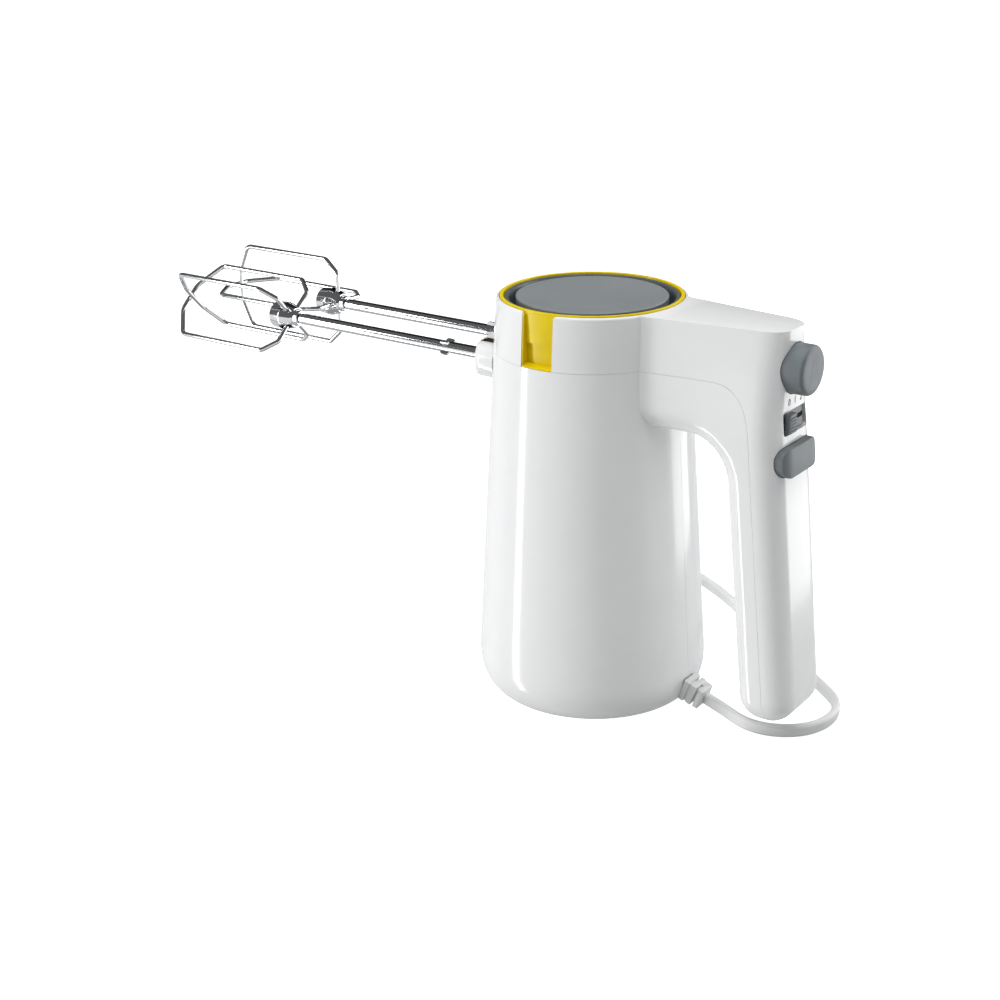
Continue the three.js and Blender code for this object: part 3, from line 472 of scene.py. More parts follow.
# %% [markdown]
# ## Finishes
# A finish is a colour plus the small things that break it up: the skin that a mould leaves, fine
# scratches and dust from handling, brushing on steel. Those are shared, so they're built once as
# shader node groups that put out a mask and a height, and every material mixes them in its own
# amounts. All of them read Object coordinates, so a pattern stays with its piece.

# %% Node helpers
def new_group(name, inputs, outputs):
    group = bpy.data.node_groups.new(name, "ShaderNodeTree")
    group.interface.new_socket("Vector", in_out="INPUT", socket_type="NodeSocketVector")
    for label, value in inputs.items():
        socket = group.interface.new_socket(label, in_out="INPUT", socket_type="NodeSocketFloat")
        socket.default_value = value
    for label in outputs:
        group.interface.new_socket(label, in_out="OUTPUT", socket_type="NodeSocketFloat")
    return group, group.nodes.new("NodeGroupInput"), group.nodes.new("NodeGroupOutput")


def add(tree, kind, values=None, **settings):
    """A node with its settings and its unlinked inputs; an input that is a socket is linked."""
    node = tree.nodes.new(kind)
    for key, value in settings.items():
        setattr(node, key, value)
    for key, value in (values or {}).items():
        if isinstance(value, bpy.types.NodeSocket):
            tree.links.new(value, node.inputs[key])
        else:
            node.inputs[key].default_value = value
    return node


def remap(tree, value, low, high, to_low=0.0, to_high=1.0):
    node = add(tree, "ShaderNodeMapRange", {"Value": value, "From Min": low, "From Max": high,
                                            "To Min": to_low, "To Max": to_high})
    return node.outputs["Result"]


def arithmetic(tree, operation, a, b):
    return add(tree, "ShaderNodeMath", {0: a, 1: b}, operation=operation).outputs[0]


# %% [markdown]
# A moulded skin has two scales: a slow waviness of several millimetres, which makes reflections
# swim a little, and the fine grain of the mould's surface. The group puts out one height for a
# Bump node and a soft mottle for the colour.

# %% Moulded skin
skin, skin_in, skin_out = new_group("moulded_skin", {"Wave size": 90.0, "Grain size": 2500.0, "Grain": 0.3},
                                    ["Height", "Mottle"])
wave = add(skin, "ShaderNodeTexNoise", {"Vector": skin_in.outputs["Vector"],
                                        "Scale": skin_in.outputs["Wave size"], "Detail": 1.0})
grain = add(skin, "ShaderNodeTexNoise", {"Vector": skin_in.outputs["Vector"],
                                         "Scale": skin_in.outputs["Grain size"], "Detail": 2.0})
grain_part = arithmetic(skin, "MULTIPLY", grain.outputs[0], skin_in.outputs["Grain"])
skin.links.new(arithmetic(skin, "ADD", wave.outputs[0], grain_part), skin_out.inputs["Height"])
skin.links.new(remap(skin, wave.outputs[0], 0.35, 0.65), skin_out.inputs["Mottle"])

# %% [markdown]
# Handling leaves faint smudges, hairline scratches and dust. The scratches are thin bands cut from
# stretched noise, and the smudges are a large soft noise. Both come out as one mask that raises
# the roughness; fine specks of dust come out apart and grey the colour very slightly.

# %% Handling marks
marks, marks_in, marks_out = new_group("handling_marks", {"Smudge size": 35.0, "Scratches": 0.5},
                                       ["Mask", "Dust"])
smudge = add(marks, "ShaderNodeTexNoise", {"Vector": marks_in.outputs["Vector"],
                                           "Scale": marks_in.outputs["Smudge size"], "Detail": 3.0})
stretch = add(marks, "ShaderNodeMapping", {"Vector": marks_in.outputs["Vector"], "Rotation": (0.5, 0.3, 0.9),
                                           "Scale": (60.0, 900.0, 420.0)})
hairline = add(marks, "ShaderNodeTexNoise", {"Vector": stretch.outputs[0], "Scale": 1.0, "Detail": 1.0})
scratch = remap(marks, hairline.outputs[0], 0.66, 0.70)
scratch = arithmetic(marks, "MULTIPLY", scratch, marks_in.outputs["Scratches"])
soft = remap(marks, smudge.outputs[0], 0.42, 0.72)
marks.links.new(arithmetic(marks, "MAXIMUM", soft, scratch), marks_out.inputs["Mask"])
specks = add(marks, "ShaderNodeTexVoronoi", {"Vector": marks_in.outputs["Vector"], "Scale": 420.0})
marks.links.new(remap(marks, specks.outputs["Distance"], 0.055, 0.03), marks_out.inputs["Dust"])

# %% [markdown]
# Metal parts show the way they were worked: lines along or round the part. Noise that is
# squeezed a hundred times more in one direction than in the other gives such lines.

# %% Worked metal
worked, worked_in, worked_out = new_group("worked_metal", {"Fine": 1.0}, ["Height", "Streak"])
lines = add(worked, "ShaderNodeTexNoise", {"Vector": worked_in.outputs["Vector"],
                                           "Scale": worked_in.outputs["Fine"], "Detail": 3.0})
worked.links.new(lines.outputs[0], worked_out.inputs["Height"])
worked.links.new(remap(worked, lines.outputs[0], 0.35, 0.68), worked_out.inputs["Streak"])


# %% A material from a colour, a skin and marks
def placed(tree, group, vector, **values):
    node = tree.nodes.new("ShaderNodeGroup")
    node.node_tree = group
    tree.links.new(vector, node.inputs["Vector"])
    for label, value in values.items():
        node.inputs[label.replace("_", " ")].default_value = value
    return node


def start_material(name, **fixed):
    """A material with plain values on its shader, and its object's coordinates."""
    made = bpy.data.materials.new(name)
    made.use_nodes = True
    tree = made.node_tree
    shader = tree.nodes["Principled BSDF"]
    for label, value in fixed.items():
        shader.inputs[label.replace("_", " ")].default_value = value
    return made, tree, shader, tree.nodes.new("ShaderNodeTexCoord").outputs["Object"]


def blended(tree, factor, colours):
    node = add(tree, "ShaderNodeMix", {"Factor": factor}, data_type="RGBA")
    for socket, colour in zip((6, 7), colours):
        if isinstance(colour, bpy.types.NodeSocket):
            tree.links.new(colour, node.inputs[socket])
        else:
            node.inputs[socket].default_value = (*colour, 1)
    return node.outputs[2]


def bumped(tree, shader, height, depth_mm, strength=0.6):
    bump = add(tree, "ShaderNodeBump", {"Height": height, "Strength": strength, "Distance": depth_mm * MM})
    tree.links.new(bump.outputs[0], shader.inputs["Normal"])


def plastic(name, colour, shade, roughness, wave_mm=9.0, grain_mm=0.4, grain=0.3, depth_mm=0.02,
            scratches=0.4, dust=(0.62, 0.62, 0.6), **fixed):
    made, tree, shader, coordinates = start_material(name, **fixed)
    surface = placed(tree, skin, coordinates, Wave_size=1000 / wave_mm, Grain_size=1000 / grain_mm,
                     Grain=grain)
    used = placed(tree, marks, coordinates, Scratches=scratches)
    mottled = blended(tree, surface.outputs["Mottle"], (colour, shade))
    faint = arithmetic(tree, "MULTIPLY", used.outputs["Dust"], 0.35)
    tree.links.new(blended(tree, faint, (mottled, dust)), shader.inputs["Base Color"])
    tree.links.new(remap(tree, used.outputs["Mask"], 0, 1, *roughness), shader.inputs["Roughness"])
    bumped(tree, shader, surface.outputs["Height"], depth_mm)
    return made


def metal(name, colour, shade, roughness, direction=(1.0, 40.0, 40.0), lines_mm=0.25, depth_mm=0.006,
          **fixed):
    """direction squeezes the lines: a small number along an axis makes them long that way."""
    made, tree, shader, coordinates = start_material(name, Metallic=1.0, **fixed)
    squeezed = add(tree, "ShaderNodeMapping", {"Vector": coordinates,
                                               "Scale": tuple(v * 25 / lines_mm for v in direction)})
    surface = placed(tree, worked, squeezed.outputs[0])
    used = placed(tree, marks, coordinates, Scratches=0.6)
    tone = arithmetic(tree, "MULTIPLY", surface.outputs["Streak"], 0.6)
    tree.links.new(blended(tree, tone, (colour, shade)), shader.inputs["Base Color"])
    mixed = arithmetic(tree, "MAXIMUM", surface.outputs["Streak"], used.outputs["Mask"])
    tree.links.new(remap(tree, mixed, 0, 1, *roughness), shader.inputs["Roughness"])
    bumped(tree, shader, surface.outputs["Height"], depth_mm)
    return made


# %% [markdown]
# The outside plastics. The white is a hard glossy plastic with an almost invisible skin, the
# yellow a little less glossy and the greys satin to the touch, so their highlights spread.

# %% Plastics and rubber
WHITE = plastic("gloss_white", (0.85, 0.853, 0.853), (0.842, 0.846, 0.848), (0.13, 0.16), depth_mm=0.008,
                grain=0.02, scratches=0.25, Specular_IOR_Level=0.55, Coat_Weight=0.25, Coat_Roughness=0.06)
YELLOW = plastic("trim_yellow", (0.8, 0.61, 0.0), (0.76, 0.57, 0.0), (0.3, 0.4), grain=0.1,
                 dust=(0.7, 0.6, 0.2), Specular_IOR_Level=0.35)
GREY = plastic("satin_grey", (0.165, 0.187, 0.197), (0.15, 0.171, 0.181), (0.42, 0.52), grain_mm=0.25,
               grain=1.2)
BEZEL = plastic("bezel_grey", (0.11, 0.122, 0.135), (0.095, 0.106, 0.118), (0.3, 0.4), grain_mm=0.3,
                grain=0.6)
INK = plastic("grey_ink", (0.25, 0.27, 0.28), (0.22, 0.24, 0.25), (0.45, 0.6), wave_mm=1.5, grain_mm=0.1)
DARK = plastic("dark_nylon", (0.045, 0.047, 0.05), (0.03, 0.032, 0.035), (0.45, 0.6), grain_mm=0.3,
               grain=1.0)
NATURAL = plastic("natural_nylon", (0.72, 0.66, 0.5), (0.64, 0.58, 0.42), (0.35, 0.5), wave_mm=4, grain=0.5)
RUBBER = plastic("foot_rubber", (0.075, 0.078, 0.08), (0.055, 0.057, 0.06), (0.7, 0.85), grain_mm=0.35,
                 grain=1.5, depth_mm=0.04)
FLEX = plastic("flex_white", (0.8, 0.805, 0.8), (0.76, 0.765, 0.765), (0.36, 0.46), wave_mm=14,
               grain_mm=0.5, grain=0.5, depth_mm=0.03)
CARBON = plastic("brush_carbon", (0.03, 0.03, 0.032), (0.055, 0.055, 0.06), (0.5, 0.7), wave_mm=0.8,
                 grain_mm=0.15, grain=1.5)

# %% [markdown]
# The metals. The beaters are chromed wire, so they mirror the room; the spindles and screws are
# plain steel, the gear frame is zinc casting, the bearings are bronze. Only the direction and
# size of the working lines and the roughness differ.

# %% Metals
CHROME = metal("beater_chrome", (0.86, 0.87, 0.88), (0.78, 0.79, 0.8), (0.05, 0.11), lines_mm=1.2,
               depth_mm=0.002)
SHAFT_STEEL = metal("shaft_steel", (0.6, 0.61, 0.62), (0.5, 0.51, 0.52), (0.2, 0.34),
                    direction=(30.0, 30.0, 1.0))
SPINDLE_STEEL = metal("spindle_steel", (0.58, 0.59, 0.6), (0.48, 0.49, 0.5), (0.2, 0.32))
SPRING_STEEL = metal("spring_steel", (0.5, 0.51, 0.53), (0.38, 0.39, 0.41), (0.25, 0.4))
SCREW_STEEL = metal("screw_steel", (0.62, 0.63, 0.64), (0.5, 0.5, 0.51), (0.25, 0.4),
                    direction=(20.0, 1.0, 20.0))
ZINC = metal("cast_zinc", (0.46, 0.47, 0.48), (0.36, 0.37, 0.38), (0.45, 0.65), direction=(3.0, 3.0, 3.0),
             lines_mm=1.0, depth_mm=0.05)
BRONZE = metal("bearing_bronze", (0.62, 0.4, 0.2), (0.48, 0.3, 0.14), (0.35, 0.5), direction=(6.0, 6.0, 6.0),
               lines_mm=0.6, depth_mm=0.02)
BRASS = metal("plated_brass", (0.75, 0.58, 0.28), (0.66, 0.5, 0.22), (0.2, 0.32))


# %% [markdown]
# Three finishes are made of layers or strands: the motor's cores are stacks of thin steel sheets,
# the windings are enamelled wire laid side by side, and the commutator is a ring of copper bars.
# A wave texture draws the first two, with a dark line in each groove: between the sheets it is
# their dark joint, between the wires it is painted shade. The angle round the shaft draws the third.

# %% Layers, wire and bars
WAVE_PERIOD = 2 * math.pi / 20    # of a wave texture whose scale is 1


def banded(name, colour, line_colour, roughness, apart_mm, direction, depth_mm, metallic):
    made, tree, shader, coordinates = start_material(name, Metallic=metallic)
    bands = add(tree, "ShaderNodeTexWave", {"Vector": coordinates, "Scale": 1000 * WAVE_PERIOD / apart_mm,
                                            "Distortion": 0.4, "Detail": 1.0, "Detail Scale": 0.6},
                wave_type="BANDS", bands_direction=direction)
    used = placed(tree, marks, coordinates, Scratches=0.5)
    # dark lines where the bands dip: the sheets' dark joints, and painted shade between the wires
    factor = remap(tree, bands.outputs["Fac"], 0.0, 0.35, 1.0, 0.0)
    tree.links.new(blended(tree, factor, (colour, line_colour)), shader.inputs["Base Color"])
    tree.links.new(remap(tree, used.outputs["Mask"], 0, 1, *roughness), shader.inputs["Roughness"])
    bumped(tree, shader, bands.outputs["Fac"], depth_mm, strength=0.8)
    return made


SHEETS = banded("core_sheets", (0.33, 0.34, 0.36), (0.1, 0.1, 0.11), (0.35, 0.5), 1.8, "Z", 0.12, 0.9)
# the winding's dark lines are painted shade in the grooves between its turns of wire
WIRE = banded("winding_wire", (0.62, 0.25, 0.1), (0.22, 0.07, 0.03), (0.2, 0.32), 1.8, "Z", 0.2, 0.85)

BAR_COUNT = 24
BARS = plastic("commutator_bars", (0.7, 0.33, 0.16), (0.6, 0.27, 0.12), (0.22, 0.35), wave_mm=2,
               Metallic=0.95)
tree = BARS.node_tree
split = add(tree, "ShaderNodeSeparateXYZ", {0: tree.nodes["Texture Coordinate"].outputs["Object"]})
around = arithmetic(tree, "ARCTAN2", split.outputs["Y"], split.outputs["X"])
phase = arithmetic(tree, "FRACT", arithmetic(tree, "MULTIPLY", around, BAR_COUNT / (2 * math.pi)), 0.0)
slit = remap(tree, phase, 0.1, 0.13, 1.0, 0.0)
bar_link = tree.nodes["Principled BSDF"].inputs["Base Color"].links[0]
tree.links.new(blended(tree, slit, (bar_link.from_socket, (0.03, 0.02, 0.02))), bar_link.to_socket)

# %% [markdown]
# The end cap is a grey disc with a spun face: it was brushed while it turned, so the grooves are
# rings. Rings come from the distance to the axis, and the shader's own anisotropy stretches what
# shines in them across their direction.

# %% Spun cap
SPUN, tree, shader, coordinates = start_material("spun_cap", Metallic=0.25, Anisotropic=0.8)
split = add(tree, "ShaderNodeSeparateXYZ", {0: coordinates})
squares = [arithmetic(tree, "MULTIPLY", split.outputs[axis], split.outputs[axis]) for axis in ("X", "Y")]
radius = add(tree, "ShaderNodeMath", {0: arithmetic(tree, "ADD", *squares)}, operation="SQRT").outputs[0]
rings = add(tree, "ShaderNodeTexNoise", {"W": radius, "Scale": 2600.0, "Detail": 3.0}, noise_dimensions="1D")
used = placed(tree, marks, coordinates, Scratches=0.3)
spun_colour = blended(tree, rings.outputs[0], ((0.27, 0.293, 0.308), (0.33, 0.353, 0.368)))
tree.links.new(spun_colour, shader.inputs["Base Color"])
tree.links.new(remap(tree, used.outputs["Mask"], 0, 1, 0.34, 0.42), shader.inputs["Roughness"])
bumped(tree, shader, rings.outputs[0], 0.01, strength=0.5)
tangent = add(tree, "ShaderNodeTangent", direction_type="RADIAL", axis="Z")
tree.links.new(tangent.outputs[0], shader.inputs["Tangent"])

# %% [markdown]
# The table is a flat white that glows for the camera alone, so that it reads as plain white while
# its glow takes no part in lighting the mixer. The card behind is matt black.

# %% Table top and card
TABLE_GLOW = 0.95
TABLE = plastic("table_white", (0.64, 0.64, 0.64), (0.63, 0.63, 0.63), (0.6, 0.7), wave_mm=60, grain_mm=1,
                grain=0.1, dust=(0.64, 0.64, 0.64), Emission_Color=(1, 1, 1, 1))
tree = TABLE.node_tree
path = tree.nodes.new("ShaderNodeLightPath")
seen = arithmetic(tree, "MULTIPLY", path.outputs["Is Camera Ray"], TABLE_GLOW)
tree.links.new(seen, tree.nodes["Principled BSDF"].inputs["Emission Strength"])
BLACK = plastic("black_card", (0.01, 0.01, 0.01), (0.02, 0.02, 0.02), (0.8, 0.9))
print("finishes:", len(bpy.data.materials))


def dress(objects, material):
    """Puts one material in every slot of the objects."""
    for target in objects:
        if not target.data.materials:
            target.data.materials.append(material)
        for i in range(len(target.data.materials)):
            target.material_slots[i].link = "OBJECT"
            target.material_slots[i].material = material


dress([table], TABLE)
dress(cards, BLACK)
dress([lead, plug, relief], FLEX)
dress(pins, BRASS)
dress([strap], DARK)


# %% [markdown]
# ## The housing
# The white body is three mouldings: one on top of the barrel and down the handle's back, and a
# near and a far half below it. On a real mixer they are thin shells with ribs inside. Here
# each outer form is made solid first, the same form a wall's thickness smaller is cut out of it,
# and the result is divided where the mouldings meet. That gives every part a true wall and
# makes the joints line up by themselves.

# %% Sizes of the housing
WALL, GAP = 2.2, 0.3
WIDEST, WIDEST_Z, BASE_RADIUS, TAPER = 46.0, 15.9, 36.5, 0.063
RIM_Z, SEAM_Z, RECESS_Z, RECESS_RADIUS = 162.0, 141.4, 150.0, 35.6
HANDLE_FOOT_X, HANDLE_LEAN, HANDLE_DEPTH, HALF_WIDTH = 87.9, 0.094, 23.2, 17.0
HANDLE_BOTTOM, ARM_UNDER, ARM_TOP, BACK_X = 9.5, 118.5, 161.9, 87.2
EDGE_ROUND = 9.6
AROUND = 160


def barrel_radius(z):
    return WIDEST - TAPER * (z - WIDEST_Z)


def handle_x(z):
    return HANDLE_FOOT_X - HANDLE_LEAN * z


# %% [markdown]
# The barrel is a profile turned about the Z axis: a flat base, a generous rounding up to the
# widest point, a slight taper and a rounded rim. The rounding is a little fuller on the side
# towards the handle, where the lead comes out.

# %% Barrel
def barrel(inset=0.0):
    profile = [(0, inset)]
    for i in range(13):
        turn = math.radians(90 * i / 12)
        profile.append((BASE_RADIUS + (WIDEST - BASE_RADIUS - inset) * math.sin(turn),
                        WIDEST_Z - (WIDEST_Z - inset) * math.cos(turn)))
    profile += [(barrel_radius(z) - inset, z) for z in (30, 50, 70, 90, 110, 130, 150)]
    if inset:
        profile += [(barrel_radius(RECESS_Z) - inset, RECESS_Z - WALL), (0, RECESS_Z - WALL)]
    else:
        rim = barrel_radius(RIM_Z)
        profile += arc((rim - 1.1, RIM_Z - 1.1), 1.1, 0, 90, 5) + [(0, RIM_Z)]
    bm = start_turned(profile, steps=AROUND)
    for vert in bm.verts:
        if vert.co.z < WIDEST_Z:
            vert.co.x += 1.6 * (1 - vert.co.z / WIDEST_Z) * max(0, vert.co.x / WIDEST)
    return bm


# %% [markdown]
# The arm and the handle are one hook. Its side view is an outline with rounded corners, extruded
# across, and a wide bevel on the two outlines rounds the long edges. The arm gets narrower
# towards the top and towards the back, and flares a little where it meets the barrel, so the
# extruded block is cut into strips that can then be drawn in. Its top is cut flat, with a small
# round along the edge.

# %% Arm and handle
def half_width(x, z):
    low = HALF_WIDTH + 3.0 * max(0.0, min(1.0, (58 - x) / 26)) ** 1.5
    top = 17.4 - 0.136 * (x - 30)
    rise = max(0.0, min(1.0, (z - 120) / 42)) ** 1.6
    return low + (top - low) * rise


def hook(inset=0.0):
    half = HANDLE_DEPTH / 2 - inset
    under, bottom, back = ARM_UNDER + inset, HANDLE_BOTTOM + inset, BACK_X - inset
    bend_z = (HANDLE_FOOT_X + half - back) / HANDLE_LEAN
    foot_round = EDGE_ROUND + 0.8 - inset
    above = ARM_TOP + 18
    outline = rounded_outline([
        (0, under, 0), (handle_x(under) - half, under, 17 + inset), (handle_x(bottom) - half, bottom, foot_round),
        (handle_x(bottom) + half, bottom, foot_round), (back, bend_z, 60), (back, above, 0), (0, above, 0)], steps=14)
    bm = start_outline(outline, "y", inset - HALF_WIDTH, HALF_WIDTH - inset)
    soften(bm, EDGE_ROUND - inset, segments=12, angle=60, keep=lambda e: abs(e.verts[0].co.y - e.verts[1].co.y) < 1e-3)
    for z in [30, 50, 70, 90] + [106 + 4 * i for i in range(14)]:
        bmesh.ops.bisect_plane(bm, geom=bm.verts[:] + bm.edges[:] + bm.faces[:], plane_co=(0, 0, z), plane_no=(0, 0, 1))
    for x in (24, 30, 36, 42, 48, 54, 60, 66, 72):
        bmesh.ops.bisect_plane(bm, geom=bm.verts[:] + bm.edges[:] + bm.faces[:], plane_co=(x, 0, 0), plane_no=(1, 0, 0))
    for vert in bm.verts:
        vert.co.y *= half_width(vert.co.x, vert.co.z) / HALF_WIDTH
    top = bmesh.ops.bisect_plane(bm, geom=bm.verts[:] + bm.edges[:] + bm.faces[:], plane_co=(0, 0, ARM_TOP - inset),
                                 plane_no=(0, 0, 1), clear_outer=True)
    rim = [item for item in top["geom_cut"] if isinstance(item, bmesh.types.BMEdge)]
    bmesh.ops.edgeloop_fill(bm, edges=rim)
    if not inset:
        level = ARM_TOP - 1e-3
        soften(bm, 1.2, segments=4, angle=40, keep=lambda e: min(v.co.z for v in e.verts) > level
               and max(v.co.x for v in e.verts) > 20)
    bmesh.ops.recalc_face_normals(bm, faces=bm.faces)
    return bm


# %% [markdown]
# In front, an oblong nose surrounds the two sockets for the beaters. It's an extruded oblong
# whose end is laid on a cylinder round the barrel's axis, with a soft edge.

# %% Socket nose
SPINDLE_Y, SPINDLE_Z = 14.54, 135.3
NOSE_RADIUS, NOSE_HALF_HEIGHT, NOSE_HALF_WIDTH = 45.8, 6.6, 25.0


def nose():
    straight, middle = NOSE_HALF_WIDTH - NOSE_HALF_HEIGHT, SPINDLE_Z - 0.6
    oblong = (arc((straight, middle), NOSE_HALF_HEIGHT, -90, 90, 14)
              + arc((-straight, middle), NOSE_HALF_HEIGHT, 90, 270, 14))
    bm = start_outline(oblong, "x", -30, -50)
    for i in range(-6, 7):
        bmesh.ops.bisect_plane(bm, geom=bm.verts[:] + bm.edges[:] + bm.faces[:], plane_co=(0, 3.0 * i, 0),
                               plane_no=(0, 1, 0))
    for vert in bm.verts:
        if vert.co.x < -40:
            vert.co.x = -math.sqrt(NOSE_RADIUS ** 2 - vert.co.y ** 2)
    rim = [e for e in bm.edges if max(v.co.x for v in e.verts) < -36 and len(e.link_faces) == 2
           and e.calc_face_angle(0) > math.radians(35)]
    bmesh.ops.bevel(bm, geom=rim, offset=2.0, segments=5, profile=0.5, affect="EDGES", material=-1)
    return bm


# %% [markdown]
# The joint between the mouldings runs level round the barrel, then curves down into the handle
# and follows it to its foot. `above_joint` is the block that holds everything on the top
# moulding's side of that line; shifting it by half a gap each way leaves the fine open line.

# %% Joint line
SEAM_GAP = 0.1


def above_joint(shift):
    def seam_x(z):
        return handle_x(z) + 1.5

    curve = []
    start, corner, end = Vector((62, SEAM_Z)), Vector((seam_x(SEAM_Z) - 1, SEAM_Z)), Vector((seam_x(124), 124))
    for i in range(17):
        t = i / 16
        curve.append((1 - t) ** 2 * start + 2 * t * (1 - t) * corner + t * t * end)
    outline = [(-60, SEAM_Z)] + [tuple(p) for p in curve] + [(seam_x(-10), -10), (130, -10), (130, 200), (-60, 200)]
    return start_outline([(x + shift, z + shift) for x, z in outline], "y", -60, 60)


# %% [markdown]
# The top moulding has the recess for the end cap, the slot for the yellow tab, and the openings
# for the release button, the speed slide and the turbo button. The near and far halves have the
# sockets, the lead's opening, the screw holes, the air slots and the hole for the foot.

# %% Openings
EJECT_Z, EJECT_RADIUS = 147.2, 9.3
TURBO_Z, TURBO_HALF_HEIGHT, TURBO_HALF_WIDTH = 114.0, 5.4, 13.0
WINDOW_Z, WINDOW_HALF, WINDOW_Y = 127.6, 4.4, (-8.2, 12.2)
SCREWS = ((-24, 14), (24, 13), (76, 30))
BUSH_FRONT = -41.2


def rod(radius, near, far, along="z", at=(0, 0, 0), steps=48):
    place = {"x": ALONG_X, "y": Matrix.Rotation(-math.pi / 2, 4, "X"), "z": Matrix.Identity(4)}[along]
    return start_turned([(0, near), (radius, near), (radius, far), (0, far)], steps=steps,
                        place=Matrix.Translation(at) @ place)


def turbo_pill(grow, near=80.0, far=106.0):
    half, height, corner = TURBO_HALF_WIDTH + grow, TURBO_HALF_HEIGHT + grow, 4.6 + grow
    outline = rounded_outline([(-half, TURBO_Z - height, corner), (half, TURBO_Z - height, corner),
                               (half, TURBO_Z + height, corner), (-half, TURBO_Z + height, corner)])
    return start_outline(outline, "x", near, far)


def window_block(grow, near=78.0, far=110.0):
    low, high = WINDOW_Z - WINDOW_HALF - grow, WINDOW_Z + WINDOW_HALF + grow
    outline = rounded_outline([(WINDOW_Y[0] - grow, low, 1.2), (WINDOW_Y[1] + grow, low, 1.2),
                               (WINDOW_Y[1] + grow, high, 1.2), (WINDOW_Y[0] - grow, high, 1.2)], steps=4)
    return start_outline(outline, "x", near, far)


tab_slot = ([(-6.9, SEAM_Z - 1), (6.9, SEAM_Z - 1)] + arc((8.1, RIM_Z - 1.2), 1.2, 180, 90, 6) + [(8.1, 170), (-8.1, 170)]
            + arc((-8.1, RIM_Z - 1.2), 1.2, 90, 0, 6))
top_cuts = [start_turned([(0, RECESS_Z), (RECESS_RADIUS, RECESS_Z), (RECESS_RADIUS, 170), (0, 170)], steps=AROUND),
            start_outline(tab_slot, "y", -50, -30),
            rod(EJECT_RADIUS + GAP, 70, 110, "x", (0, 0, EJECT_Z)),
            window_block(0.0), turbo_pill(GAP),
            start_box((45, 56), (-2.6, 2.6), (SEAM_Z - 2, 147.1))]
relief_hole = start_box((-18, 4), (-3.4, 3.4), (-4.0, 4.0))
bmesh.ops.rotate(relief_hole, cent=(0, 0, 0), matrix=Matrix.Rotation(PITCH, 3, "Y"), verts=relief_hole.verts)
bmesh.ops.translate(relief_hole, vec=EXIT, verts=relief_hole.verts)
lower_cuts = [relief_hole, rod(12 + GAP, -1, WALL + 1)]
for side in (-1, 1):
    lower_cuts += [rod(2.95, -60, -30, "x", (0, side * SPINDLE_Y, SPINDLE_Z)),
                   rod(6.5, BUSH_FRONT - GAP, -30, "x", (0, side * SPINDLE_Y, SPINDLE_Z))]
for x, z in SCREWS:
    lower_cuts += [rod(1.8, -9, 6.2, "y", (x, 0, z), 24), rod(3.3, 6.1, 60, "y", (x, 0, z), 32)]
for side in (-1, 1):
    for i in range(3):
        y = side * (6 + 6 * i)
        lower_cuts.append(soften(start_box((-60, -30), (y - 1.2, y + 1.2), (30, 58)), 1.1, 4, 60,
                                 lambda e: abs(e.verts[0].co.x - e.verts[1].co.x) > 20))
print("openings:", len(top_cuts), "above the joint,", len(lower_cuts), "below it")

# %% Shell
shell = combine(barrel(), ("UNION", hook()), ("UNION", nose()))
cavity = combine(barrel(WALL), ("UNION", hook(WALL)))
solid_mesh = bpy.data.meshes.new("solid")
shell.to_mesh(solid_mesh)


def solid_copy():
    bm = bmesh.new()
    bm.from_mesh(solid_mesh)
    return bm


shell = combine(shell, ("DIFFERENCE", cavity))
shell_mesh = bpy.data.meshes.new("shell")
shell.to_mesh(shell_mesh)
shell.free()
print("shell:", len(shell_mesh.polygons), "faces")


def shell_copy():
    bm = bmesh.new()
    bm.from_mesh(shell_mesh)
    return bm


# %% Top moulding
spring_wall = combine(start_box((49.6, 51.6), (-16, 16), (SEAM_Z + 0.2, ARM_TOP - 1)), ("INTERSECT", solid_copy()))
top_bm = combine(shell_copy(), ("UNION", spring_wall), ("INTERSECT", above_joint(SEAM_GAP / 2)),
                 *[("DIFFERENCE", cut) for cut in top_cuts])
top = piece("top_moulding", top_bm, "housing", ["top_housing"], smooth=28)

# %% Near and far mouldings
bosses = [("UNION", combine(rod(4.8, -45, 45, "y", (x, 0, z), 32), ("INTERSECT", solid_copy()))) for x, z in SCREWS]
lower_bm = combine(shell_copy(), *bosses, ("DIFFERENCE", above_joint(-SEAM_GAP / 2)),
                   *[("DIFFERENCE", cut) for cut in lower_cuts])
lower_mesh = bpy.data.meshes.new("lower")
lower_bm.to_mesh(lower_mesh)
lower_bm.free()
halves = {}
for label, ys in (("near", (-70, -SEAM_GAP / 2)), ("far", (SEAM_GAP / 2, 70))):
    half_bm = bmesh.new()
    half_bm.from_mesh(lower_mesh)
    half_bm = combine(half_bm, ("INTERSECT", start_box((-80, 140), ys, (-10, 200))))
    halves[label] = piece(f"{label}_moulding", half_bm, "housing", [f"{label}_lower_housing"],
                          smooth=28)
dress([top, *halves.values()], WHITE)


# %% [markdown]
# ## The closed end
# The barrel's upper end carries a yellow ring with a tab that hangs down in its slot, a grey
# ring inside it, a deep dark groove, and a raised disc with a spun face. The rings and the disc
# are turned profiles with small rounds, because the rounds are what catches the light.

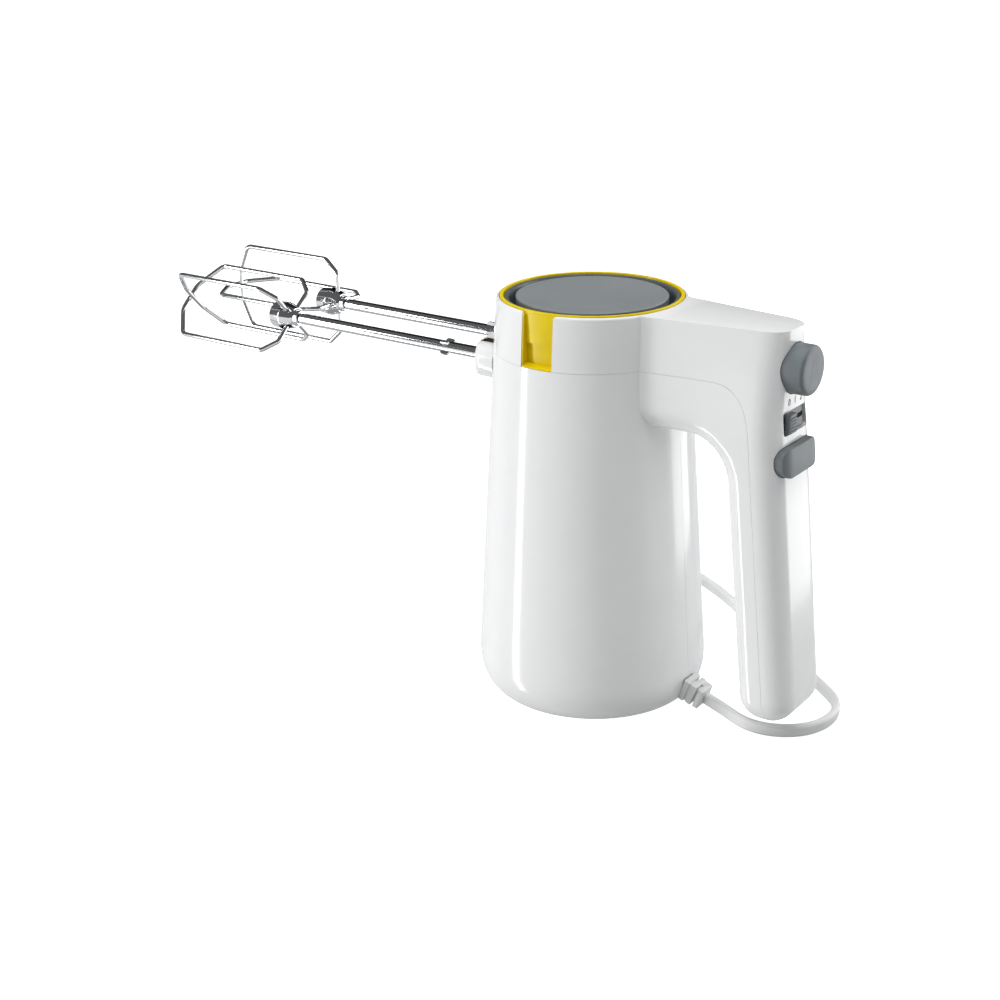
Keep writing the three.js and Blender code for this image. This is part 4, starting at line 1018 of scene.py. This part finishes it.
# %% Yellow ring with its tab
FLOOR_OF_RECESS = RECESS_Z + GAP
trim_bm = start_turned([(33.9, FLOOR_OF_RECESS), (35.3, FLOOR_OF_RECESS)] + arc((35.0, 162.2), 0.3, 0, 90, 3)
                       + arc((34.2, 162.2), 0.3, 90, 180, 3), steps=AROUND)
TAB_FOOT, TAB_HALF = SEAM_Z + 0.08, 6.75
tab_bm = combine(start_turned([(32.6, TAB_FOOT), (37.8, TAB_FOOT), (36.6, 160.9), (32.6, 160.9)], steps=AROUND),
                 ("INTERSECT", start_box((-TAB_HALF, TAB_HALF), (-50, -30), (130, 170))),
                 ("DIFFERENCE", rod(33.9, RECESS_Z, 170, steps=AROUND)),
                 ("DIFFERENCE", rod(33.4, 120, RECESS_Z + 1, steps=AROUND)))
tray_bm = combine(start_turned([(34.6, TAB_FOOT + 1.0), (37.7, TAB_FOOT + 0.35), (60, TAB_FOOT + 0.35), (60, 170),
                                (34.6, 170)], steps=AROUND),
                  ("INTERSECT", start_box((0.4 - TAB_HALF, TAB_HALF - 0.4), (-50, -30), (130, 180))))
trim_bm = combine(trim_bm, ("UNION", combine(tab_bm, ("DIFFERENCE", tray_bm))))
trim = piece("yellow_ring", trim_bm, "housing", ["trim_ring"])

# %% Grey ring and spun disc
bezel_bm = start_turned([(31.5, FLOOR_OF_RECESS), (33.6, FLOOR_OF_RECESS), (33.6, 161.5), (33.3, 161.9), (32.9, 161.9)]
                        + arc((32.9, 161.0), 0.9, 100, 150, 4) + [(31.7, 160.2), (31.5, 158.5)], steps=AROUND)
bezel = piece("grey_ring", bezel_bm, "housing", ["bezel_ring"])
disc_profile = [(0, FLOOR_OF_RECESS), (31.2, FLOOR_OF_RECESS), (31.2, FLOOR_OF_RECESS + 2), (29.3, FLOOR_OF_RECESS + 2),
                (29.3, 161.5)] + arc((28.7, 161.5), 0.6, 0, 90, 5) + [(27.5, 162.15), (27.2, 162.05), (14, 162.1), (0, 162.2)]
disc = piece("spun_disc", start_turned(disc_profile, steps=AROUND), "housing", ["end_cap"])
dress([trim], YELLOW)
dress([bezel], BEZEL)
dress([disc], SPUN)


# %% [markdown]
# ## Controls
# On the handle's back sit a round release button for the beaters, a speed slide under a row of
# numbers, and a turbo button that wraps the back. The round button is a turned profile with a
# soft edge and a slight crown, and carries a raised triangle over two bars, the usual sign for
# release.

# %% Release button
BUTTON_FACE, BUTTON_BACK = 94.6, 84.0
button_profile = ([(0, BUTTON_BACK), (EJECT_RADIUS - 0.3, BUTTON_BACK), (EJECT_RADIUS, BUTTON_BACK + 0.3)]
                  + arc((EJECT_RADIUS - 1.5, BUTTON_FACE - 1.7), 1.5, 0, 80, 7)
                  + [(6.5, BUTTON_FACE - 0.1), (4, BUTTON_FACE - 0.05), (0, BUTTON_FACE - 0.02)])
button_bm = start_turned(button_profile, steps=96, place=Matrix.Translation((0, 0, EJECT_Z)) @ ALONG_X)
triangle = rounded_outline([(-2.5, 0.1, 0.4), (2.5, 0.1, 0.4), (0, 4.6, 0.4)], steps=4)
bars = [rounded_outline([(-2.5, z, 0.3), (2.5, z, 0.3), (2.5, z + 0.8, 0.3), (-2.5, z + 0.8, 0.3)], steps=3)
        for z in (-1.7, -3.3)]
sign = [start_outline([(y, z + EJECT_Z - 0.4) for y, z in shape], "x", BUTTON_FACE - 0.5, BUTTON_FACE)
        for shape in (triangle, *bars)]
button_bm = combine(button_bm, *[("UNION", mark) for mark in sign])
button = piece("release_button", button_bm, "eject_button", ["eject_button"], smooth=25)


# %% [markdown]
# The turbo button is the handle's own section, grown by three millimetres and cut to a pill, so
# its face follows the handle's curve. `handle_bar` is that section as a leaning bar.

# %% Turbo button
def handle_bar(grow):
    depth, width, corner = HANDLE_DEPTH / 2 + grow, HALF_WIDTH + grow, 10 + grow
    section = rounded_outline([(depth, width, corner), (-depth, width, corner), (-depth, -width, corner),
                               (depth, -width, corner)], steps=16)
    bm = start_outline(section, "z", 90, 150)
    for vert in bm.verts:
        vert.co.x += handle_x(vert.co.z)
    return bm


turbo_bm = combine(handle_bar(2.9), ("DIFFERENCE", handle_bar(-5)), ("INTERSECT", turbo_pill(0)))
soften(turbo_bm, 0.9, segments=4, angle=45, keep=lambda e: max(v.co.x for v in e.verts) > 88)
turbo = piece("turbo_pill", turbo_bm, "turbo_button", ["turbo_button"], smooth=30)

# %% [markdown]
# The slide runs in a dark window. Its plate is cut from the same leaning bar, a little below the
# handle's surface, with the slot for the slide's stem, and the knob has a ribbed face for the
# thumb.

# %% Speed plate and knob
stem_slot = soften(start_box((70, 110), (-5.8, 11.6 - GAP), (WINDOW_Z - 0.9, WINDOW_Z + 0.9)), 0.4, 3, 60,
                   lambda e: abs(e.verts[0].co.x - e.verts[1].co.x) > 20)
plate_bm = combine(handle_bar(-1.4), ("DIFFERENCE", handle_bar(-3.2)), ("INTERSECT", window_block(-GAP)),
                   ("DIFFERENCE", stem_slot))
plate = piece("slide_plate", plate_bm, "housing", ["speed_plate"])

KNOB_Y = (-6.4, -1.2)
knob_x = handle_x(WINDOW_Z) + HANDLE_DEPTH / 2
knob_bm = soften(start_box((knob_x - 0.7, knob_x + 1.9), KNOB_Y, (WINDOW_Z - 3.7, WINDOW_Z + 3.7)), 0.45, segments=3)
thumb_grooves = [soften(start_box((knob_x + 1.5, knob_x + 2.5), (KNOB_Y[0] - 1, KNOB_Y[1] + 1),
                                  (z - 0.3, z + 0.3)), 0.12, segments=2)
                 for z in [WINDOW_Z - 2.4 + 1.2 * i for i in range(5)]]
stem = start_box((knob_x - 5.5, knob_x), (KNOB_Y[0] + 1.2, KNOB_Y[1] - 1.2), (WINDOW_Z - 0.7, WINDOW_Z + 0.7))
knob_bm = combine(knob_bm, ("UNION", stem), *[("DIFFERENCE", groove) for groove in thumb_grooves])
knob = piece("slide_knob", knob_bm, "speed_knob", ["speed_knob"])

# %% [markdown]
# The numbers are printed in grey above the window: text made a mesh, stood up against the
# handle's back, and pressed onto its curve point by point.

# %% Speed numbers
MARK_Z, MARK_HEIGHT, INK_THICKNESS = 135.1, 2.8, 0.06


def back_surface(y, z):
    """X of the handle's back at the height of the numbers, where the back is upright."""
    shrink = half_width(BACK_X - 3, z) / HALF_WIDTH
    flat, corner = (HALF_WIDTH - EDGE_ROUND) * shrink, EDGE_ROUND * shrink
    past = max(0.0, abs(y) - flat) / corner
    return BACK_X - EDGE_ROUND * (1 - math.sqrt(max(0.0, 1 - past ** 2)))


numbers_bm = bmesh.new()
for digit, y in zip("0123", (-3.8, 0.7, 5.2, 9.7)):
    text = bpy.data.curves.new("digit", "FONT")
    text.body, text.size, text.align_x, text.align_y = digit, MARK_HEIGHT * 1.35, "CENTER", "CENTER"
    text.extrude, text.resolution_u = INK_THICKNESS, 4
    holder = bpy.data.objects.new("digit", text)
    bpy.context.scene.collection.objects.link(holder)
    flat = holder.evaluated_get(bpy.context.evaluated_depsgraph_get())
    letter = bmesh.new()
    letter.from_mesh(flat.to_mesh())
    flat.to_mesh_clear()
    bpy.data.objects.remove(holder)
    bmesh.ops.remove_doubles(letter, verts=letter.verts, dist=1e-4)
    for vert in letter.verts:
        u, v, depth = vert.co
        z = MARK_Z + v
        vert.co = (back_surface(y + u, z) + depth + INK_THICKNESS * 0.6, y + u, z)
    merge_in(numbers_bm, letter)
numbers = piece("speed_numbers", numbers_bm, "housing", clean=False)
dress([button, turbo, plate, knob], GREY)
dress([numbers], INK)


# %% [markdown]
# ## Beaters
# Each beater is a chromed rod with a conical hub at its end and two wire loops set crosswise in
# it. The rod has four small fins that lock in the spindle. The rod and hub are turned; the slots
# and the dimple in the hub's face are cut, and the loops are one wire swept along a path whose
# corners are bent as a wire bender would bend them, with the straight runs left straight.

# %% Rod and hub
SHAFT_RADIUS, HUB_FRONT, HUB_BACK, HUB_RADIUS = 2.37, -152.0, -138.1, 6.0
LOOP_RADIUS, LOOP_TIP, WIRE_RADIUS = 18.5, -205.0, 1.0
rolls = {"near": math.radians(42), "far": 0.0}
places = {label: Matrix.Translation((0, side * SPINDLE_Y, SPINDLE_Z)) @ Matrix.Rotation(rolls[label], 4, "X")
          for label, side in (("near", -1), ("far", 1))}


def beater_rod(label):
    bm = start_turned([(0, HUB_BACK + GAP), (SHAFT_RADIUS, HUB_BACK + GAP), (SHAFT_RADIUS, 0.8), (1.4, 2.0), (0, 2.0)],
                      steps=48, place=ALONG_X)
    fins = []
    for turn in (0, math.pi / 2):
        fin = soften(start_box((-61.5, -57.5), (-3.7, 3.7), (-0.5, 0.5)), 0.9, 3, 60,
                     lambda e: abs(e.verts[0].co.z - e.verts[1].co.z) > 0.5)
        bmesh.ops.rotate(fin, cent=(0, 0, 0), matrix=Matrix.Rotation(turn, 3, "X"), verts=fin.verts)
        fins.append(("UNION", fin))
    bm = combine(bm, *fins)
    bmesh.ops.transform(bm, matrix=places[label], verts=bm.verts)
    return piece(f"{label}_rod", bm, f"{label}_beater", [f"{label}_beater_shaft"])


def hub(label):
    profile = [(0, HUB_FRONT + 0.7), (1.6, HUB_FRONT + 0.7), (2.2, HUB_FRONT), (5.0, HUB_FRONT), (5.5, HUB_FRONT + 0.5),
               (HUB_RADIUS, -146.2), (HUB_RADIUS, -145.8), (4.5, -140.9), (4.1, -140.5), (3.7, -140.5), (3.4, -140.2),
               (3.4, -138.4), (3.1, -138.1), (0, -138.1)]
    bm = start_turned(profile, steps=64, place=ALONG_X)
    slots = []
    for turn in range(4):
        slot = start_box((-146.8, -140.9), (3.3, 8), (-1.15, 1.15))
        bmesh.ops.rotate(slot, cent=(0, 0, 0), matrix=Matrix.Rotation(turn * math.pi / 2, 3, "X"), verts=slot.verts)
        slots.append(("DIFFERENCE", slot))
    bm = combine(bm, *slots)
    bmesh.ops.transform(bm, matrix=places[label], verts=bm.verts)
    return piece(f"{label}_hub", bm, f"{label}_beater", [f"{label}_beater_hub"], smooth=25)


# %% Wire loops
def bent_path(corners, steps=7):
    """An open path of straight runs with an arc of the given radius at every inner corner."""
    points = [corners[0][:2]]
    for before, here, after in zip(corners, corners[1:], corners[2:]):
        p = Vector(here[:2])
        a, b = (Vector(before[:2]) - p).normalized(), (Vector(after[:2]) - p).normalized()
        half = math.acos(max(-1, min(1, a.dot(b)))) / 2
        reach = here[2] / math.tan(half)
        centre = p + (a + b).normalized() * (here[2] / math.sin(half))
        start, end = p + a * reach - centre, p + b * reach - centre
        swing = start.angle_signed(end)
        for k in range(steps + 1):
            spoke = start.copy()
            spoke.rotate(Matrix.Rotation(-swing * k / steps, 2))
            points.append(tuple(centre + spoke))
    points.append(corners[-1][:2])
    return points


def loop(label, which, tip, turn):
    half = [(-143.4, 3.5, 0), (-143.1, 12.9, 1.6), (-149.3, LOOP_RADIUS, 2.6), (-196.4, LOOP_RADIUS, 3.8),
            (tip + 0.5, 6.5, 7.0)]
    corners = half + [(u, -v, r) for u, v, r in reversed(half)]
    path = bent_path(corners)
    bm = bmesh.new()
    ring = bmesh.ops.create_circle(bm, segments=16, radius=WIRE_RADIUS)["verts"]
    edges = list({e for v in ring for e in v.link_edges})
    bmesh.ops.edgeloop_fill(bm, edges=edges)
    along = [Vector((x, y, 0)) for x, y in path]

    def frame_at(i):
        ahead = along[min(i + 1, len(along) - 1)] - along[max(i - 1, 0)]
        direction = ahead.normalized()
        side = Vector((0, 0, 1)).cross(direction)
        return Matrix.Translation(along[i]) @ Matrix((side, (0, 0, 1), direction)).transposed().to_4x4()

    bmesh.ops.transform(bm, matrix=frame_at(0), verts=ring)
    for i in range(1, len(along)):
        grown = bmesh.ops.extrude_edge_only(bm, edges=edges)["geom"]
        fresh = [item for item in grown if isinstance(item, bmesh.types.BMVert)]
        edges = [item for item in grown if isinstance(item, bmesh.types.BMEdge)]
        bmesh.ops.transform(bm, matrix=frame_at(i) @ frame_at(i - 1).inverted(), verts=fresh)
    bmesh.ops.edgeloop_fill(bm, edges=edges)
    bmesh.ops.transform(bm, matrix=places[label] @ Matrix.Rotation(turn, 4, "X"), verts=bm.verts)
    return piece(f"{label}_{which}_wire", bm, f"{label}_beater", [f"{label}_{which}_loop"], smooth=50)


for label in ("near", "far"):
    parts = [beater_rod(label), hub(label), loop(label, "outer", LOOP_TIP, 0.0),
             loop(label, "inner", LOOP_TIP + 2 * WIRE_RADIUS + 0.4, math.pi / 2)]
    dress(parts, CHROME)


# %% [markdown]
# The spindle that takes the rod and the bronze bush it turns in sit behind the nose's small
# round opening, so both are turned a little shorter at the front than the nose's own wall.

# %% Spindles and their bushes
def socket_parts(label, side):
    at = Matrix.Translation((0, side * SPINDLE_Y, SPINDLE_Z)) @ ALONG_X
    front, back, bore = BUSH_FRONT + GAP, 17.3, SHAFT_RADIUS + 0.33
    tube = start_turned([(bore, front), (4.2, front), (4.5, front + 0.3), (4.5, back - 0.3), (4.2, back), (bore, back)],
                        steps=48, place=at)
    ring = start_turned([(4.8, BUSH_FRONT), (5.9, BUSH_FRONT), (6.2, BUSH_FRONT + 0.3), (6.2, -35.3), (5.9, -35),
                         (4.8, -35)], steps=48, place=at)
    return (piece(f"{label}_socket_tube", tube, f"{label}_spindle", [f"{label}_spindle"]),
            piece(f"{label}_socket_bush", ring, "housing", [f"{label}_spindle_bush"]))


for label, side in (("near", -1), ("far", 1)):
    tube, ring = socket_parts(label, side)
    dress([tube], SPINDLE_STEEL)
    dress([ring], BRONZE)


# %% [markdown]
# ## What the frame brings
# The parts inside, and the few outside whose shape is already right, stay as the frame has them.
# They only get their finish, through their objects' material slots.

# %% Finishes for the frame's own parts
FRAME_FINISH = {
    SHAFT_STEEL: ["armature_shaft"],
    SHEETS: ["armature_core", "stator_core"],
    WIRE: ["lower_winding", "upper_winding", "near_field_coil", "far_field_coil"],
    BARS: ["commutator"],
    DARK: ["cooling_fan", "eject_rod", "turbo_switch", "speed_switch"],
    ZINC: ["motor_end_bracket", "gearbox_bracket"],
    BRONZE: ["lower_bearing", "upper_bearing"],
    BRASS: ["near_brush_holder", "far_brush_holder"],
    CARBON: ["near_brush", "far_brush"],
    NATURAL: ["near_worm_wheel", "far_worm_wheel"],
    SPINDLE_STEEL: ["near_ejector_pin", "far_ejector_pin"],
    SPRING_STEEL: ["eject_spring", "turbo_spring"],
    SCREW_STEEL: ["housing_screw_1", "housing_screw_2", "housing_screw_3"],
    RUBBER: ["base_foot"],
}
for finish, names in FRAME_FINISH.items():
    dress([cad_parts[name] for name in names], finish)
bare = [name for name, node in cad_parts.items() if not node.hide_render
        and not any(name in names for names in FRAME_FINISH.values())]
print("frame parts without a finish:", bare)
